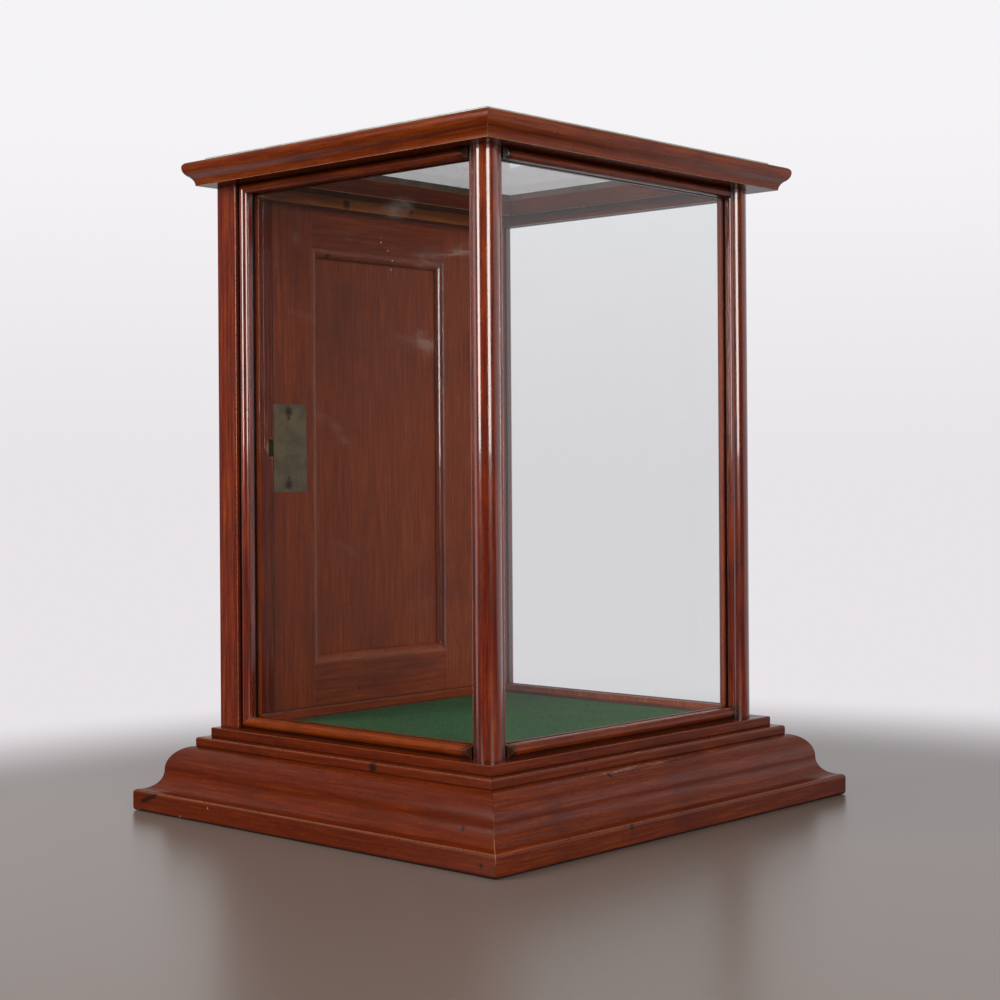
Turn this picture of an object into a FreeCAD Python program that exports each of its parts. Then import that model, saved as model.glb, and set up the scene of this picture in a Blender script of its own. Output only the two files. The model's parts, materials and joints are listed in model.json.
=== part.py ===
import FreeCAD, Part
import Sketcher
import math
import os

# A glazed display case that stands on a counter: moulded base, three glass sides and a glass top
# in a mahogany frame, and a panelled door with a lock in the back. Millimetres, Z up. The origin is
# the middle of the base on the surface it stands on; the front faces -Y and the door is at +Y.

doc = FreeCAD.newDocument("displayCase")
sheet = doc.addObject("Spreadsheet::Sheet", "sizes")
Vector = FreeCAD.Vector
nodes = []


class Length:
    """A length that carries its number and the text that ties it to the sheet."""

    def __init__(self, value, text):
        self.value = float(value)
        self.text = text

    def combine(self, other, sign, value):
        return Length(value, "(" + self.text + " " + sign + " " + asLength(other).text + ")")

    def __add__(self, other):
        return self.combine(other, "+", self.value + asLength(other).value)

    def __radd__(self, other):
        return asLength(other) + self

    def __sub__(self, other):
        return self.combine(other, "-", self.value - asLength(other).value)

    def __rsub__(self, other):
        return asLength(other) - self

    def __mul__(self, share):
        return self.combine(share, "*", self.value * asLength(share).value)

    def __rmul__(self, share):
        return self * share

    def __truediv__(self, share):
        return self.combine(share, "/", self.value / asLength(share).value)

    def __neg__(self):
        return Length(-self.value, "(0 - " + self.text + ")")


def asLength(number):
    if isinstance(number, Length):
        return number
    return Length(number, "(" + repr(number) + ")" if number < 0 else repr(number))


def halfChord(radius, offset):
    """Half the chord that lies at an offset from the centre of a circle."""
    value = math.sqrt(radius.value ** 2 - offset.value ** 2)
    return Length(value, "sqrt(" + radius.text + "^2 - " + offset.text + "^2)")


def size(alias, value, meaning):
    row = str(size.row)
    size.row += 1
    sheet.set("A" + row, meaning)
    sheet.set("B" + row, str(value))
    sheet.setAlias("B" + row, alias)
    return Length(value, "sizes." + alias)


size.row = 1

# The frame of posts, which everything else is set out from.
caseWidth = size("caseWidth", 344.0, "over the posts, left to right")
caseDepth = size("caseDepth", 317.0, "over the posts, front to back")
backInset = size("backInset", 9.5, "how much less the base and cornice stand out at the back")

# Heights of the base's pieces, from the bottom up, and how far each stands out from the posts.
plinthHeight = size("plinthHeight", 18.0, "height of the plinth")
plinthReach = size("plinthReach", 57.4, "plinth stands out from the posts")
plinthRound = size("plinthRound", 3.0, "round of the plinth's two edges")
ogeeLower = size("ogeeLower", 16.0, "radius of the hollow part of the ogee")
ogeeUpper = size("ogeeUpper", 20.3, "radius of the round part of the ogee")
lowerStepHeight = size("lowerStepHeight", 7.7, "height of the lower step")
lowerStepReach = size("lowerStepReach", 19.3, "lower step stands out from the posts")
lowerStepRound = size("lowerStepRound", 2.2, "round of the lower step's edge")
upperStepHeight = size("upperStepHeight", 8.0, "height of the upper step")
upperStepReach = size("upperStepReach", 10.0, "upper step stands out from the posts")
upperStepRound = size("upperStepRound", 1.0, "round of the upper step's edge")
stepLap = size("stepLap", 28.0, "upper step reaches in from the posts' faces")
ledgeWidth = size("ledgeWidth", 8.0, "ledge of the lower step that carries the floor board")
ledgeGap = size("ledgeGap", 0.3, "gap round the floor board")
baizeThickness = size("baizeThickness", 2.4, "thickness of the baize with its felt")
baizeGap = size("baizeGap", 0.4, "gap round the baize")
blockSide = size("blockSide", 20.0, "side of a glue block")
blockLength = size("blockLength", 44.0, "length of a glue block")

# The posts between the upper step and the cornice.
postHeight = size("postHeight", 465.4, "height of the posts")
columnRadius = size("columnRadius", 10.2, "radius of the round column of a front post")
frontPostSide = size("frontPostSide", 24.0, "side of a front post with its lips")
lipRecess = size("lipRecess", 5.0, "a front post's lip lies behind the column's face")
lipRound = size("lipRound", 2.5, "round of the lip's edge")
rearPostWidth = size("rearPostWidth", 41.0, "width of a rear post, seen from the back")
rearPostDepth = size("rearPostDepth", 23.6, "depth of a rear post without its bead")
beadStripDepth = size("beadStripDepth", 10.6, "depth of the beaded strip on a rear post")

# The beaded rails and the glass between them.
beadRadius = size("beadRadius", 4.75, "radius of the bead on bottom rails and rear posts")
topBeadRadius = size("topBeadRadius", 4.1, "radius of the bead on top rails")
beadRecess = size("beadRecess", 1.5, "bead's face lies behind the posts' faces")
quirkDepth = size("quirkDepth", 3.0, "depth of the quirk beside the bead")
glassFace = size("glassFace", 10.6, "outer face of the glass behind the posts' faces")
glassThickness = size("glassThickness", 2.6, "thickness of the side panes")
glazingThickness = size("glazingThickness", 4.4, "thickness of the strips that hold the glass")
glassLap = size("glassLap", 4.3, "rebate that the glass lies in")
glassGap = size("glassGap", 0.5, "gap between the glass and the end of its rebate")
grooveGap = size("grooveGap", 0.1, "gap on each side of the glass in the top groove")
bottomRailHeight = size("bottomRailHeight", 10.0, "height of the bottom rails")
topRailHeight = size("topRailHeight", 8.5, "height of the top rails")
soffitLap = size("soffitLap", 28.0, "cornice reaches in from the posts' faces")
thresholdThickness = size("thresholdThickness", 6.0, "thickness of the threshold strip")
headerHeight = size("headerHeight", 10.8, "height of the strip over the door")
headerThickness = size("headerThickness", 10.4, "thickness of the strip over the door")

# The cornice and the glass on top of it.
corniceHeight = size("corniceHeight", 20.2, "height of the cornice")
corniceFoot = size("corniceFoot", 17.4, "cornice's lower edge stands out from the posts")
corniceFillet = size("corniceFillet", 0.8, "height of the upright band at the cornice's foot")
coveReach = size("coveReach", 3.8, "cove stands out over the band")
coveRise = size("coveRise", 6.8, "height of the cove")
coveRadius = size("coveRadius", 10.0, "radius of the cove")
swellReach = size("swellReach", 4.8, "swell stands out over the cove")
swellRadius = size("swellRadius", 9.5, "radius of the swell")
noseRadius = size("noseRadius", 4.4, "radius of the rounded nose")
backBoardLap = size("backBoardLap", 46.0, "board behind the cornice reaches in from its rear edge")
beddingWidth = size("beddingWidth", 8.0, "width of the putty under the top glass")
beddingDepth = size("beddingDepth", 5.4, "depth of the putty under the top glass")
topGlassThickness = size("topGlassThickness", 4.0, "thickness of the top glass")
topGlassInset = size("topGlassInset", 14.5, "edge of the top glass behind the nose")

# The door, flush between the rear posts.
doorSideGap = size("doorSideGap", 0.8, "gap at the door's upright edges")
doorEndGap = size("doorEndGap", 1.4, "gap above and below the door")
stopGap = size("stopGap", 0.3, "gap between the door and its stops")
doorMemberWidth = size("doorMemberWidth", 46.0, "width of the door's stiles and rails")
tenonLength = size("tenonLength", 20.0, "length of the rails' tenons")
tenonShoulder = size("tenonShoulder", 10.0, "wood between a tenon and the door's end")
tenonGap = size("tenonGap", 0.1, "gap at a tenon's end")
panelThickness = size("panelThickness", 7.0, "thickness of the door panel")
panelRecess = size("panelRecess", 5.6, "panel's face behind the door's inner face")
mouldingRadius = size("mouldingRadius", 8.0, "radius of the moulding's round")
panelTongue = size("panelTongue", 7.5, "panel's edge inside its groove")
panelGap = size("panelGap", 0.5, "gap at the bottom of the panel's groove")
mouldingWidth = size("mouldingWidth", 8.0, "width of the moulding round the panel")
mouldingFlat = size("mouldingFlat", 0.8, "narrow flats at the moulding's two edges")

# The lock, let into the door's inner face and free edge.
lockPlateWidth = size("lockPlateWidth", 38.0, "width of the lock's plate")
lockPlateHeight = size("lockPlateHeight", 77.0, "height of the lock's plate")
lockCentre = size("lockCentre", 238.6, "lock's middle above the door's foot")
lockSheet = size("lockSheet", 1.5, "thickness of the lock's plates")
lockCaseWidth = size("lockCaseWidth", 32.0, "width of the lock's case")
lockCaseHeight = size("lockCaseHeight", 56.0, "height of the lock's case")
lockCaseDepth = size("lockCaseDepth", 11.0, "depth of the lock's case behind its plate")
lockFit = size("lockFit", 0.05, "gap between the lock and the wood")
boltHeight = size("boltHeight", 12.0, "height of the bolt")
boltThickness = size("boltThickness", 5.0, "thickness of the bolt")
boltLength = size("boltLength", 25.0, "length of the bolt")
boltFit = size("boltFit", 0.1, "gap round the bolt in the edge plate")
boltSet = size("boltSet", 0.2, "bolt's end behind the door's edge when drawn back")
boltDepth = size("boltDepth", 2.6, "bolt's face behind the lock's plate")
boltThrow = size("boltThrow", 4.5, "travel of the bolt")
talonWidth = size("talonWidth", 5.0, "notch in the bolt that the key turns in")
talonHeight = size("talonHeight", 3.5, "height of that notch")
strikeSpace = size("strikeSpace", 1.5, "room round the bolt in that notch")
springThickness = size("springThickness", 0.6, "thickness of the bolt's spring")
springLength = size("springLength", 20.0, "length of the bolt's spring")
springRise = size("springRise", 2.5, "rise of the bowed spring")
springGap = size("springGap", 0.2, "gap between the spring and the bolt")
springWidth = size("springWidth", 4.0, "width of the bolt's spring")
keyPinRadius = size("keyPinRadius", 1.2, "radius of the pin that the key turns on")
keyDrop = size("keyDrop", 11.0, "key's pin below the lock's middle")
keySetback = size("keySetback", 19.0, "key's pin behind the door's edge")
keyholeRadius = size("keyholeRadius", 2.4, "radius of the keyhole's eye")
keySlotWidth = size("keySlotWidth", 2.0, "width of the keyhole's slot")
keySlotLength = size("keySlotLength", 7.5, "length of the keyhole's slot below its eye")
escutcheonRim = size("escutcheonRim", 3.0, "brass round the keyhole")
escutcheonSheet = size("escutcheonSheet", 1.2, "thickness of the escutcheon")
lockScrewUp = size("lockScrewUp", 6.5, "lock screws from the plate's ends")
lockScrewIn = size("lockScrewIn", 17.5, "lock screws from the door's edge")

# Two butt hinges and all screws.
hingeHeight = size("hingeHeight", 50.0, "height of a hinge")
hingeWidth = size("hingeWidth", 17.0, "width of a hinge leaf in the wood")
hingeSheet = size("hingeSheet", 1.5, "thickness of a hinge leaf")
hingeInset = size("hingeInset", 80.0, "hinge's middle from the door's ends")
knuckleRadius = size("knuckleRadius", 3.0, "radius of a hinge knuckle")
knuckleProud = size("knuckleProud", 3.2, "hinge's axis behind the posts' rear faces")
knuckleGap = size("knuckleGap", 0.1, "gap between knuckles")
hingePinRadius = size("hingePinRadius", 1.2, "radius of a hinge pin")
pinFit = size("pinFit", 0.05, "gap between a pin and its hole")
screwHeadRadius = size("screwHeadRadius", 2.7, "radius of a screw's head")
screwShankRadius = size("screwShankRadius", 1.2, "radius of a screw's shank")
screwLength = size("screwLength", 13.0, "length of a screw")
screwFit = size("screwFit", 0.05, "gap between a screw and its hole")
screwSlotWidth = size("screwSlotWidth", 0.7, "width of a screw's slot")
screwSlotDepth = size("screwSlotDepth", 0.7, "depth of a screw's slot")
screwSpread = size("screwSpread", 17.0, "distance between hinge screws")
screwInset = size("screwInset", 9.5, "hinge screws from the posts' rear faces")
overrun = size("overrun", 5.0, "how far a cutting shape runs past what it cuts")

knuckleCount = 5

# Places worked out from the sizes.
halfWidth = caseWidth / 2
mouldDepth = caseDepth - backInset
frontFace = -mouldDepth / 2
mouldBack = mouldDepth / 2
rearFace = mouldBack + backInset
ogeeTop = plinthHeight + ogeeLower + ogeeUpper
lowerStepTop = ogeeTop + lowerStepHeight
upperStepTop = lowerStepTop + upperStepHeight
soffit = upperStepTop + postHeight
corniceTop = soffit + corniceHeight
glassBack = glassFace + glassThickness
innerFace = glassBack + glazingThickness
railSight = upperStepTop + bottomRailHeight
railRebate = railSight - glassLap
topSight = soffit - topRailHeight
stripFront = rearFace - rearPostDepth - beadStripDepth
postFront = rearFace - rearPostDepth
doorInner = postFront + stopGap
openingSide = halfWidth - rearPostWidth
doorSide = openingSide - doorSideGap
doorFoot = upperStepTop + doorEndGap
doorHead = soffit - doorEndGap
panelSide = doorSide - doorMemberWidth
panelFoot = doorFoot + doorMemberWidth
panelHead = doorHead - doorMemberWidth
panelInner = doorInner + panelRecess
panelOuter = panelInner + panelThickness
lockZ = doorFoot + lockCentre
hingeX = (openingSide + doorSide) / 2
hingeY = rearFace + knuckleProud
hingeHeights = (doorFoot + hingeInset, doorHead - hingeInset)
noseReach = corniceFoot + coveReach + swellReach


# Helpers that draw and cut.

def place(thing, x=0, y=0, z=0):
    for axis, length in (("x", x), ("y", y), ("z", z)):
        thing.setExpression("Placement.Base." + axis, asLength(length).text)


def turned(thing, axis, angle):
    thing.Placement = FreeCAD.Placement(Vector(0, 0, 0), FreeCAD.Rotation(axis, angle))


def box(name, low, high):
    thing = doc.addObject("Part::Box", name)
    for side, start, end in zip(("Length", "Width", "Height"), low, high):
        thing.setExpression(side, (asLength(end) - asLength(start)).text)
    place(thing, *low)
    return thing


def rod(name, foot, direction, length, radius, tip=None):
    """A round rod, or a cone when the radius at its tip is given."""
    thing = doc.addObject("Part::Cone" if tip else "Part::Cylinder", name)
    turned(thing, *direction)
    place(thing, *foot)
    thing.setExpression("Height", asLength(length).text)
    thing.setExpression("Radius1" if tip else "Radius", asLength(radius).text)
    if tip:
        thing.setExpression("Radius2", asLength(tip).text)
    return thing


alongX = (Vector(0, 1, 0), 90)
againstX = (Vector(0, 1, 0), -90)
alongY = (Vector(1, 0, 0), -90)
alongZ = (Vector(0, 0, 1), 0)
screwWays = {("x", 1): alongX, ("x", -1): againstX, ("y", 1): alongY}


def join(name, things):
    thing = doc.addObject("Part::MultiFuse", name)
    thing.Shapes = things
    return thing


def cut(name, base, tools):
    thing = doc.addObject("Part::Cut", name)
    thing.Base = base
    thing.Tool = tools[0] if len(tools) == 1 else join(name + "Tools", tools)
    return thing


def group(name, things):
    thing = doc.addObject("Part::Compound", name)
    thing.Links = things
    return thing


def node(name, thing):
    thing.Label = name
    nodes.append(thing)
    return thing


def sketchOn(body, role, name):
    sketch = body.newObject("Sketcher::SketchObject", name)
    plane = [feature for feature in body.Origin.OriginFeatures if feature.Role == role][0]
    sketch.AttachmentSupport = [(plane, "")]
    sketch.MapMode = "FlatFace"
    return sketch


def arcThrough(start, end, radius, turn):
    """The short arc from start to end; turn is 1 to the left and -1 to the right."""
    chord = end - start
    middle = (start + end) / 2
    side = Vector(-chord.y, chord.x, 0).normalize() * turn
    centre = middle + side * math.sqrt(max(radius ** 2 - (chord.Length / 2) ** 2, 0))
    first, last = (start, end) if turn > 0 else (end, start)
    angles = [math.atan2(point.y - centre.y, point.x - centre.x) for point in (first, last)]
    return Part.ArcOfCircle(Part.Circle(centre, Vector(0, 0, 1), radius), *angles)


def tie(sketch, kind, corner, length):
    """Ties a corner to the sketch's axes at a length that may be negative or zero."""
    if abs(length.value) < 1e-9:
        axis = -2 if kind == "DistanceX" else -1
        sketch.addConstraint(Sketcher.Constraint("PointOnObject", *corner, axis))
        return
    origin = (-1, 1)
    ends = origin + corner if length.value > 0 else corner + origin
    index = sketch.addConstraint(Sketcher.Constraint(kind, *ends, abs(length.value)))
    bound = length if length.value > 0 else -length
    sketch.setExpression("Constraints[" + str(index) + "]", bound.text)


def outline(sketch, path):
    """Draws a closed outline. A corner is (x, y), or (x, y, radius, turn) when an arc leads to it."""
    path = [tuple(asLength(part) for part in corner[:3]) + corner[3:] for corner in path]
    starts, ends = [], []
    for index, corner in enumerate(path):
        before = path[index - 1]
        start = Vector(before[0].value, before[1].value, 0)
        end = Vector(corner[0].value, corner[1].value, 0)
        if len(corner) == 2:
            geometry = sketch.addGeometry(Part.LineSegment(start, end), False)
            forward = True
        else:
            geometry = sketch.addGeometry(arcThrough(start, end, corner[2].value, corner[3]), False)
            forward = corner[3] > 0
            radius = sketch.addConstraint(Sketcher.Constraint("Radius", geometry, corner[2].value))
            sketch.setExpression("Constraints[" + str(radius) + "]", corner[2].text)
        starts.append((geometry, 1 if forward else 2))
        ends.append((geometry, 2 if forward else 1))
    for index, corner in enumerate(path):
        following = (index + 1) % len(path)
        sketch.addConstraint(Sketcher.Constraint("Coincident", *ends[index], *starts[following]))
        tie(sketch, "DistanceX", ends[index], corner[0])
        tie(sketch, "DistanceY", ends[index], corner[1])


def pad(body, name, role, path, length, symmetric=True):
    sketch = sketchOn(body, role, name + "Outline")
    outline(sketch, path)
    feature = body.newObject("PartDesign::Pad", name)
    feature.Profile = sketch
    feature.SideType = "Symmetric" if symmetric else "One side"
    feature.setExpression("Length", length.text)
    return feature


def pocketThrough(body, name, role, paths):
    """Cuts right through the body on both sides of the sketch."""
    sketch = sketchOn(body, role, name + "Outline")
    for path in paths:
        outline(sketch, path)
    feature = body.newObject("PartDesign::Pocket", name)
    feature.Profile = sketch
    feature.SideType = "Symmetric"
    feature.Type = "ThroughAll"
    return feature


def newBody(name):
    return doc.addObject("PartDesign::Body", name)


# Mitred frames: base, steps, cornice and the moulding round the panel are lengths of one section,
# cut at 45 degrees. A section is drawn as (reach from the frame's edge, height); each length is made
# as a front piece and then turned to its side.

caseSides = (
    ("front", 0, halfWidth, 0, frontFace),
    ("right", 90, mouldDepth / 2, halfWidth, 0),
    ("back", 180, halfWidth, 0, mouldBack),
    ("left", 270, mouldDepth / 2, -halfWidth, 0),
)


def mirroredPath(path):
    return [(-asLength(corner[0]), *corner[1:3]) + tuple(-turn for turn in corner[3:]) for corner in path]


def mitredLength(name, section, reach, lap, halfSpan):
    """One length; the section stands out by reach and in by lap from an edge of twice halfSpan."""
    body = newBody(name)
    pad(body, name + "Length", "YZ_Plane", mirroredPath(section), (halfSpan + reach) * 2)
    inward = lap + overrun
    waste = [(halfSpan + reach, -asLength(reach)), (halfSpan + reach, inward), (halfSpan - inward, inward)]
    pocketThrough(body, name + "Mitres", "XY_Plane", [waste, mirroredPath(waste)])
    return body


def mitredFrame(name, section, reach, lap):
    for side, angle, halfSpan, x, y in caseSides:
        body = mitredLength(name + "_" + side, section, asLength(reach), lap, halfSpan)
        turned(body, Vector(0, 0, 1), angle)
        place(body, x, y)
        node(name + "_" + side, body)


def baseMouldings():
    ledge = plinthReach - plinthRound
    section = [
        (0, 0), (ledge, 0), (plinthReach, plinthRound, plinthRound, 1),
        (plinthReach, plinthHeight - plinthRound), (ledge, plinthHeight, plinthRound, 1),
        (ledge - ogeeLower, plinthHeight + ogeeLower, ogeeLower, -1),
        (ledge - ogeeLower - ogeeUpper, ogeeTop, ogeeUpper, 1), (0, ogeeTop),
    ]
    mitredFrame("base_moulding", section, plinthReach, asLength(0))


def steps():
    stages = (
        ("lower_step", ogeeTop, lowerStepTop, lowerStepReach, lowerStepRound, stepLap + ledgeWidth),
        ("upper_step", lowerStepTop, upperStepTop, upperStepReach, upperStepRound, stepLap),
    )
    for name, foot, top, reach, edge, lap in stages:
        section = [
            (-lap, foot), (reach, foot), (reach, top - edge), (reach - edge, top, edge, 1), (-lap, top),
        ]
        mitredFrame(name, section, reach, lap)


def cornice():
    cove = corniceFoot + coveReach
    coveFoot = soffit + corniceFillet
    rebate = corniceTop - beddingDepth
    section = [
        (-soffitLap, soffit), (corniceFoot, soffit), (corniceFoot, coveFoot),
        (cove, coveFoot + coveRise, coveRadius, -1), (noseReach, corniceTop - noseRadius, swellRadius, 1),
        (noseReach - noseRadius, corniceTop, noseRadius, 1), (beddingWidth - soffitLap, corniceTop),
        (beddingWidth - soffitLap, rebate), (-soffitLap, rebate),
    ]
    mitredFrame("cornice", section, noseReach, soffitLap)
    edge = halfWidth - soffitLap
    low = (-edge, mouldBack - backBoardLap, soffit)
    node("cornice_back_board", box("corniceBackBoard", low, (edge, mouldBack - soffitLap, rebate)))


def slab(name, reach, foot, top):
    """A flat box that stands out by reach from the moulded rectangle; reach may be negative."""
    low = (-halfWidth - reach, frontFace - reach, foot)
    return box(name, low, (halfWidth + reach, mouldBack + reach, top))


def topGlass():
    rebate = corniceTop - beddingDepth
    ring = slab("beddingOuter", beddingWidth - soffitLap, rebate, corniceTop)
    edge = halfWidth - soffitLap
    hollow = box("beddingInner", (-edge, frontFace + soffitLap, rebate - overrun),
                 (edge, mouldBack - backBoardLap, corniceTop + overrun))
    node("top_glass_bedding", cut("topGlassBedding", ring, [hollow]))
    glassReach = noseReach - topGlassInset
    node("top_glass", slab("topGlass", glassReach, corniceTop, corniceTop + topGlassThickness))


def floorPieces():
    node("floor_board", slab("floorBoard", -stepLap - ledgeGap, lowerStepTop, upperStepTop))
    edge = halfWidth - innerFace - baizeGap
    front = frontFace + innerFace + baizeGap
    back = postFront - thresholdThickness - baizeGap
    top = upperStepTop + baizeThickness
    cloth = box("baizeSheet", (-edge, front, upperStepTop), (edge, back, top))
    notches = []
    for hand in (-1, 1):
        postSide = frontPostSide + baizeGap
        inner = (hand * (halfWidth - postSide), frontFace + postSide, top + overrun)
        notches.append(between("baizeNotch", (hand * halfWidth, frontFace, upperStepTop - overrun), inner))
    node("baize_lining", cut("baizeLining", cloth, notches))


def glueBlocks():
    blocks = []
    foot = ogeeTop - blockSide
    for share in (-0.5, 0.5):
        middle = halfWidth * share
        for near, far in ((frontFace, frontFace + blockSide), (mouldBack - blockSide, mouldBack)):
            low = (middle - blockLength / 2, near, foot)
            blocks.append(box("glueBlock", low, (middle + blockLength / 2, far, ogeeTop)))
        middle = mouldBack * share
        for near, far in ((-halfWidth, -halfWidth + blockSide), (halfWidth - blockSide, halfWidth)):
            low = (near, middle - blockLength / 2, foot)
            blocks.append(box("glueBlock", low, (far, middle + blockLength / 2, ogeeTop)))
    node("base_glue_blocks", group("baseGlueBlocks", blocks))


# Posts.

def ordered(first, second):
    return sorted((asLength(first), asLength(second)), key=lambda length: length.value)


def between(name, first, second):
    """A box between two opposite corners given in any order."""
    pairs = [ordered(start, end) for start, end in zip(first, second)]
    return box(name, [pair[0] for pair in pairs], [pair[1] for pair in pairs])


def frontPosts():
    side = frontPostSide
    quirk = columnRadius + halfChord(columnRadius, columnRadius - lipRecess)
    section = [
        (side, side), (lipRecess + lipRound, side), (lipRecess, side - lipRound, lipRound, 1),
        (lipRecess, quirk), (0, columnRadius, columnRadius, 1), (columnRadius, 0, columnRadius, 1),
        (quirk, lipRecess, columnRadius, 1), (side - lipRound, lipRecess),
        (side, lipRecess + lipRound, lipRound, 1),
    ]
    rebateTop = topSight + glassLap + glassGap
    for name, hand, angle in (("left", -1, 0), ("right", 1, 90)):
        body = newBody("frontPost" + name)
        pad(body, "frontPostLength" + name, "XY_Plane", section, postHeight, symmetric=False)
        turned(body, Vector(0, 0, 1), angle)
        place(body, hand * halfWidth, frontFace, upperStepTop)
        glassX = hand * (halfWidth - glassFace)
        lapX = hand * (halfWidth - side + glassLap)
        pastX = hand * (halfWidth - side - overrun)
        past = (pastX, frontFace + side + overrun, rebateTop)
        sideRebate = between("sideRebate", (glassX, frontFace + side - glassLap, railRebate), past)
        frontRebate = between("frontRebate", (lapX, frontFace + glassFace, railRebate), past)
        node("front_post_" + name, cut("frontPostCut" + name, body, [sideRebate, frontRebate]))


def beadSection(edge, radius):
    """Section of a beaded piece, drawn as (depth behind the face, distance to the sight edge)."""
    face = beadRecess
    middle = edge - radius
    quirk = face + quirkDepth
    chord = halfChord(radius, radius - quirkDepth)
    return [
        (quirk, 0), (quirk, middle - chord), (face, middle, radius, -1),
        (face + radius, edge, radius, -1), (innerFace, edge), (innerFace, 0),
    ]


def mitreBox(name, near, far, y, z, angle, beyond):
    """A long box that lies along a 45 degree mitre from the sight corner at y, z."""
    thing = doc.addObject("Part::Box", name)
    reach = beadStripDepth + topRailHeight + bottomRailHeight
    turned(thing, Vector(1, 0, 0), angle)
    thing.setExpression("Length", (far - near).text)
    thing.setExpression("Width", (reach * 2).text)
    thing.setExpression("Height", reach.text)
    if not beyond:
        turn = math.radians(angle)
        y = y + reach * math.sin(turn)
        z = z - reach * math.cos(turn)
    place(thing, near, y, z)
    return thing


def rearPost(name, hand):
    body = newBody("beadStrip" + name)
    strip = [(part[0], -asLength(part[1])) + tuple(part[2:3]) + tuple(-turn for turn in part[3:])
             for part in beadSection(beadStripDepth, beadRadius)]
    path = strip if hand < 0 else mirroredPath(strip)
    pad(body, "beadStripLength" + name, "XY_Plane", path, postHeight, symmetric=False)
    place(body, hand * halfWidth, postFront, upperStepTop)
    near, far = ordered(hand * (halfWidth + overrun), hand * (halfWidth - innerFace - overrun))
    mitres = [
        mitreBox("stripFootMitre", near, far, stripFront, railSight, -45, False),
        mitreBox("stripHeadMitre", near, far, stripFront, topSight, 45, True),
    ]
    strip = cut("beadStripMitred" + name, body, mitres)
    flat = between("rearPostFlat", (hand * halfWidth, postFront, upperStepTop),
                   (hand * openingSide, rearFace, soffit))
    rebate = between("rearRebate", (hand * (halfWidth - glassFace), stripFront - overrun, railRebate),
                     (hand * (halfWidth - innerFace - overrun), stripFront + glassLap,
                      topSight + glassLap + glassGap))
    return join("rearPostWhole" + name, [flat, strip]), rebate


# Rails, glass and the strips that hold it.

railSides = (
    ("front", 0, 0, frontFace),
    ("right", 90, halfWidth, 0),
    ("left", 270, -halfWidth, 0),
)
stoppedEnds = {"front": (-1, 1), "right": (-1,), "left": (1,)}


def railSpan(side, back):
    """Where a rail runs: along X in front, and from the front post back to the rear post at a side."""
    if side == "front":
        return -(halfWidth - frontPostSide), halfWidth - frontPostSide
    return frontFace + frontPostSide, back


def rail(name, side, angle, x, y, section, start, end):
    """A rail whose bead slopes back to the lip of each front post that it meets."""
    body = newBody(name + side)
    pad(body, name + "Length" + side, "YZ_Plane", section, end - start)
    half = (end - start) / 2
    for hand in stoppedEnds[side]:
        stop = [(half + overrun, -overrun), (half + overrun, lipRecess + overrun),
                (half - lipRecess - overrun, -overrun)]
        path = stop if hand > 0 else mirroredPath(stop)
        pocketThrough(body, name + "Stop" + side + ("Right" if hand > 0 else "Left"), "XY_Plane", [path])
    turned(body, Vector(0, 0, 1), angle)
    middle = (start + end) / 2
    if side == "front":
        place(body, middle, y)
    else:
        place(body, x, middle)
    return body


def acrossRail(name, side, start, end, near, far, foot, top):
    """A box along one side of the case, near and far behind the posts' faces."""
    if side == "front":
        return between(name, (start, frontFace + near, foot), (end, frontFace + far, top))
    hand = 1 if side == "right" else -1
    return between(name, (hand * (halfWidth - near), start, foot), (hand * (halfWidth - far), end, top))


def sideMitre(name, side, lap, z, angle, beyond):
    hand = 1 if side == "right" else -1
    near, far = ordered(hand * (halfWidth + overrun), hand * (halfWidth - lap))
    return mitreBox(name, near, far, stripFront, z, angle, beyond)


def bottomRails():
    section = [(part[0], upperStepTop + part[1]) + tuple(part[2:])
               for part in beadSection(bottomRailHeight, beadRadius)]
    for side, angle, x, y in railSides:
        start, end = railSpan(side, postFront)
        body = rail("bottomRail", side, angle, x, y, section, start, end)
        tools = [acrossRail("railRebate", side, start - overrun, end + overrun, glassFace,
                            innerFace + overrun, railRebate, railSight + overrun)]
        if side != "front":
            tools.append(sideMitre("railMitre", side, innerFace + overrun, railSight, -45, True))
        node("bottom_rail_" + side, cut("bottomRailCut" + side, body, tools))
    edge = halfWidth - innerFace
    low = (-edge, postFront - thresholdThickness, upperStepTop)
    threshold = box("doorThreshold", low, (edge, postFront, railSight))
    node("door_threshold", threshold)


def topRails():
    section = [(part[0], soffit - part[1]) + tuple(part[2:3]) + tuple(-turn for turn in part[3:])
               for part in beadSection(topRailHeight, topBeadRadius)]
    for side, angle, x, y in railSides:
        start, end = railSpan(side, postFront)
        body = rail("topRail", side, angle, x, y, section, start, end)
        tools = [acrossRail("glassGroove", side, start - overrun, end + overrun, glassFace - grooveGap,
                            glassBack + grooveGap, topSight - overrun, topSight + glassLap + glassGap)]
        if side != "front":
            tools.append(sideMitre("topRailMitre", side, innerFace + overrun, topSight, 45, False))
        node("top_rail_" + side, cut("topRailCut" + side, body, tools))
    edge = halfWidth - innerFace
    low = (-edge, postFront - headerThickness, soffit - headerHeight)
    header = box("doorHeader", low, (edge, postFront, soffit))
    node("door_header", header)


def sidePanes():
    for side, angle, x, y in railSides:
        start, end = railSpan(side, stripFront)
        lap = glassLap - glassGap
        paneTop = topSight + glassLap
        pane = acrossRail("pane", side, start - lap, end + lap, glassFace, glassBack, railRebate, paneTop)
        node(side + "_glass", pane)
        strips = [
            acrossRail("glazing", side, low, high, glassBack, innerFace, railRebate, top)
            for low, high, top in (
                (start, end, railSight),
                (start - glassLap, start, topSight), (end, end + glassLap, topSight),
            )
        ]
        node("glazing_beads_" + side, group("glazingBeads" + side, strips))


# Screws, and the holes that take them.

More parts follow.
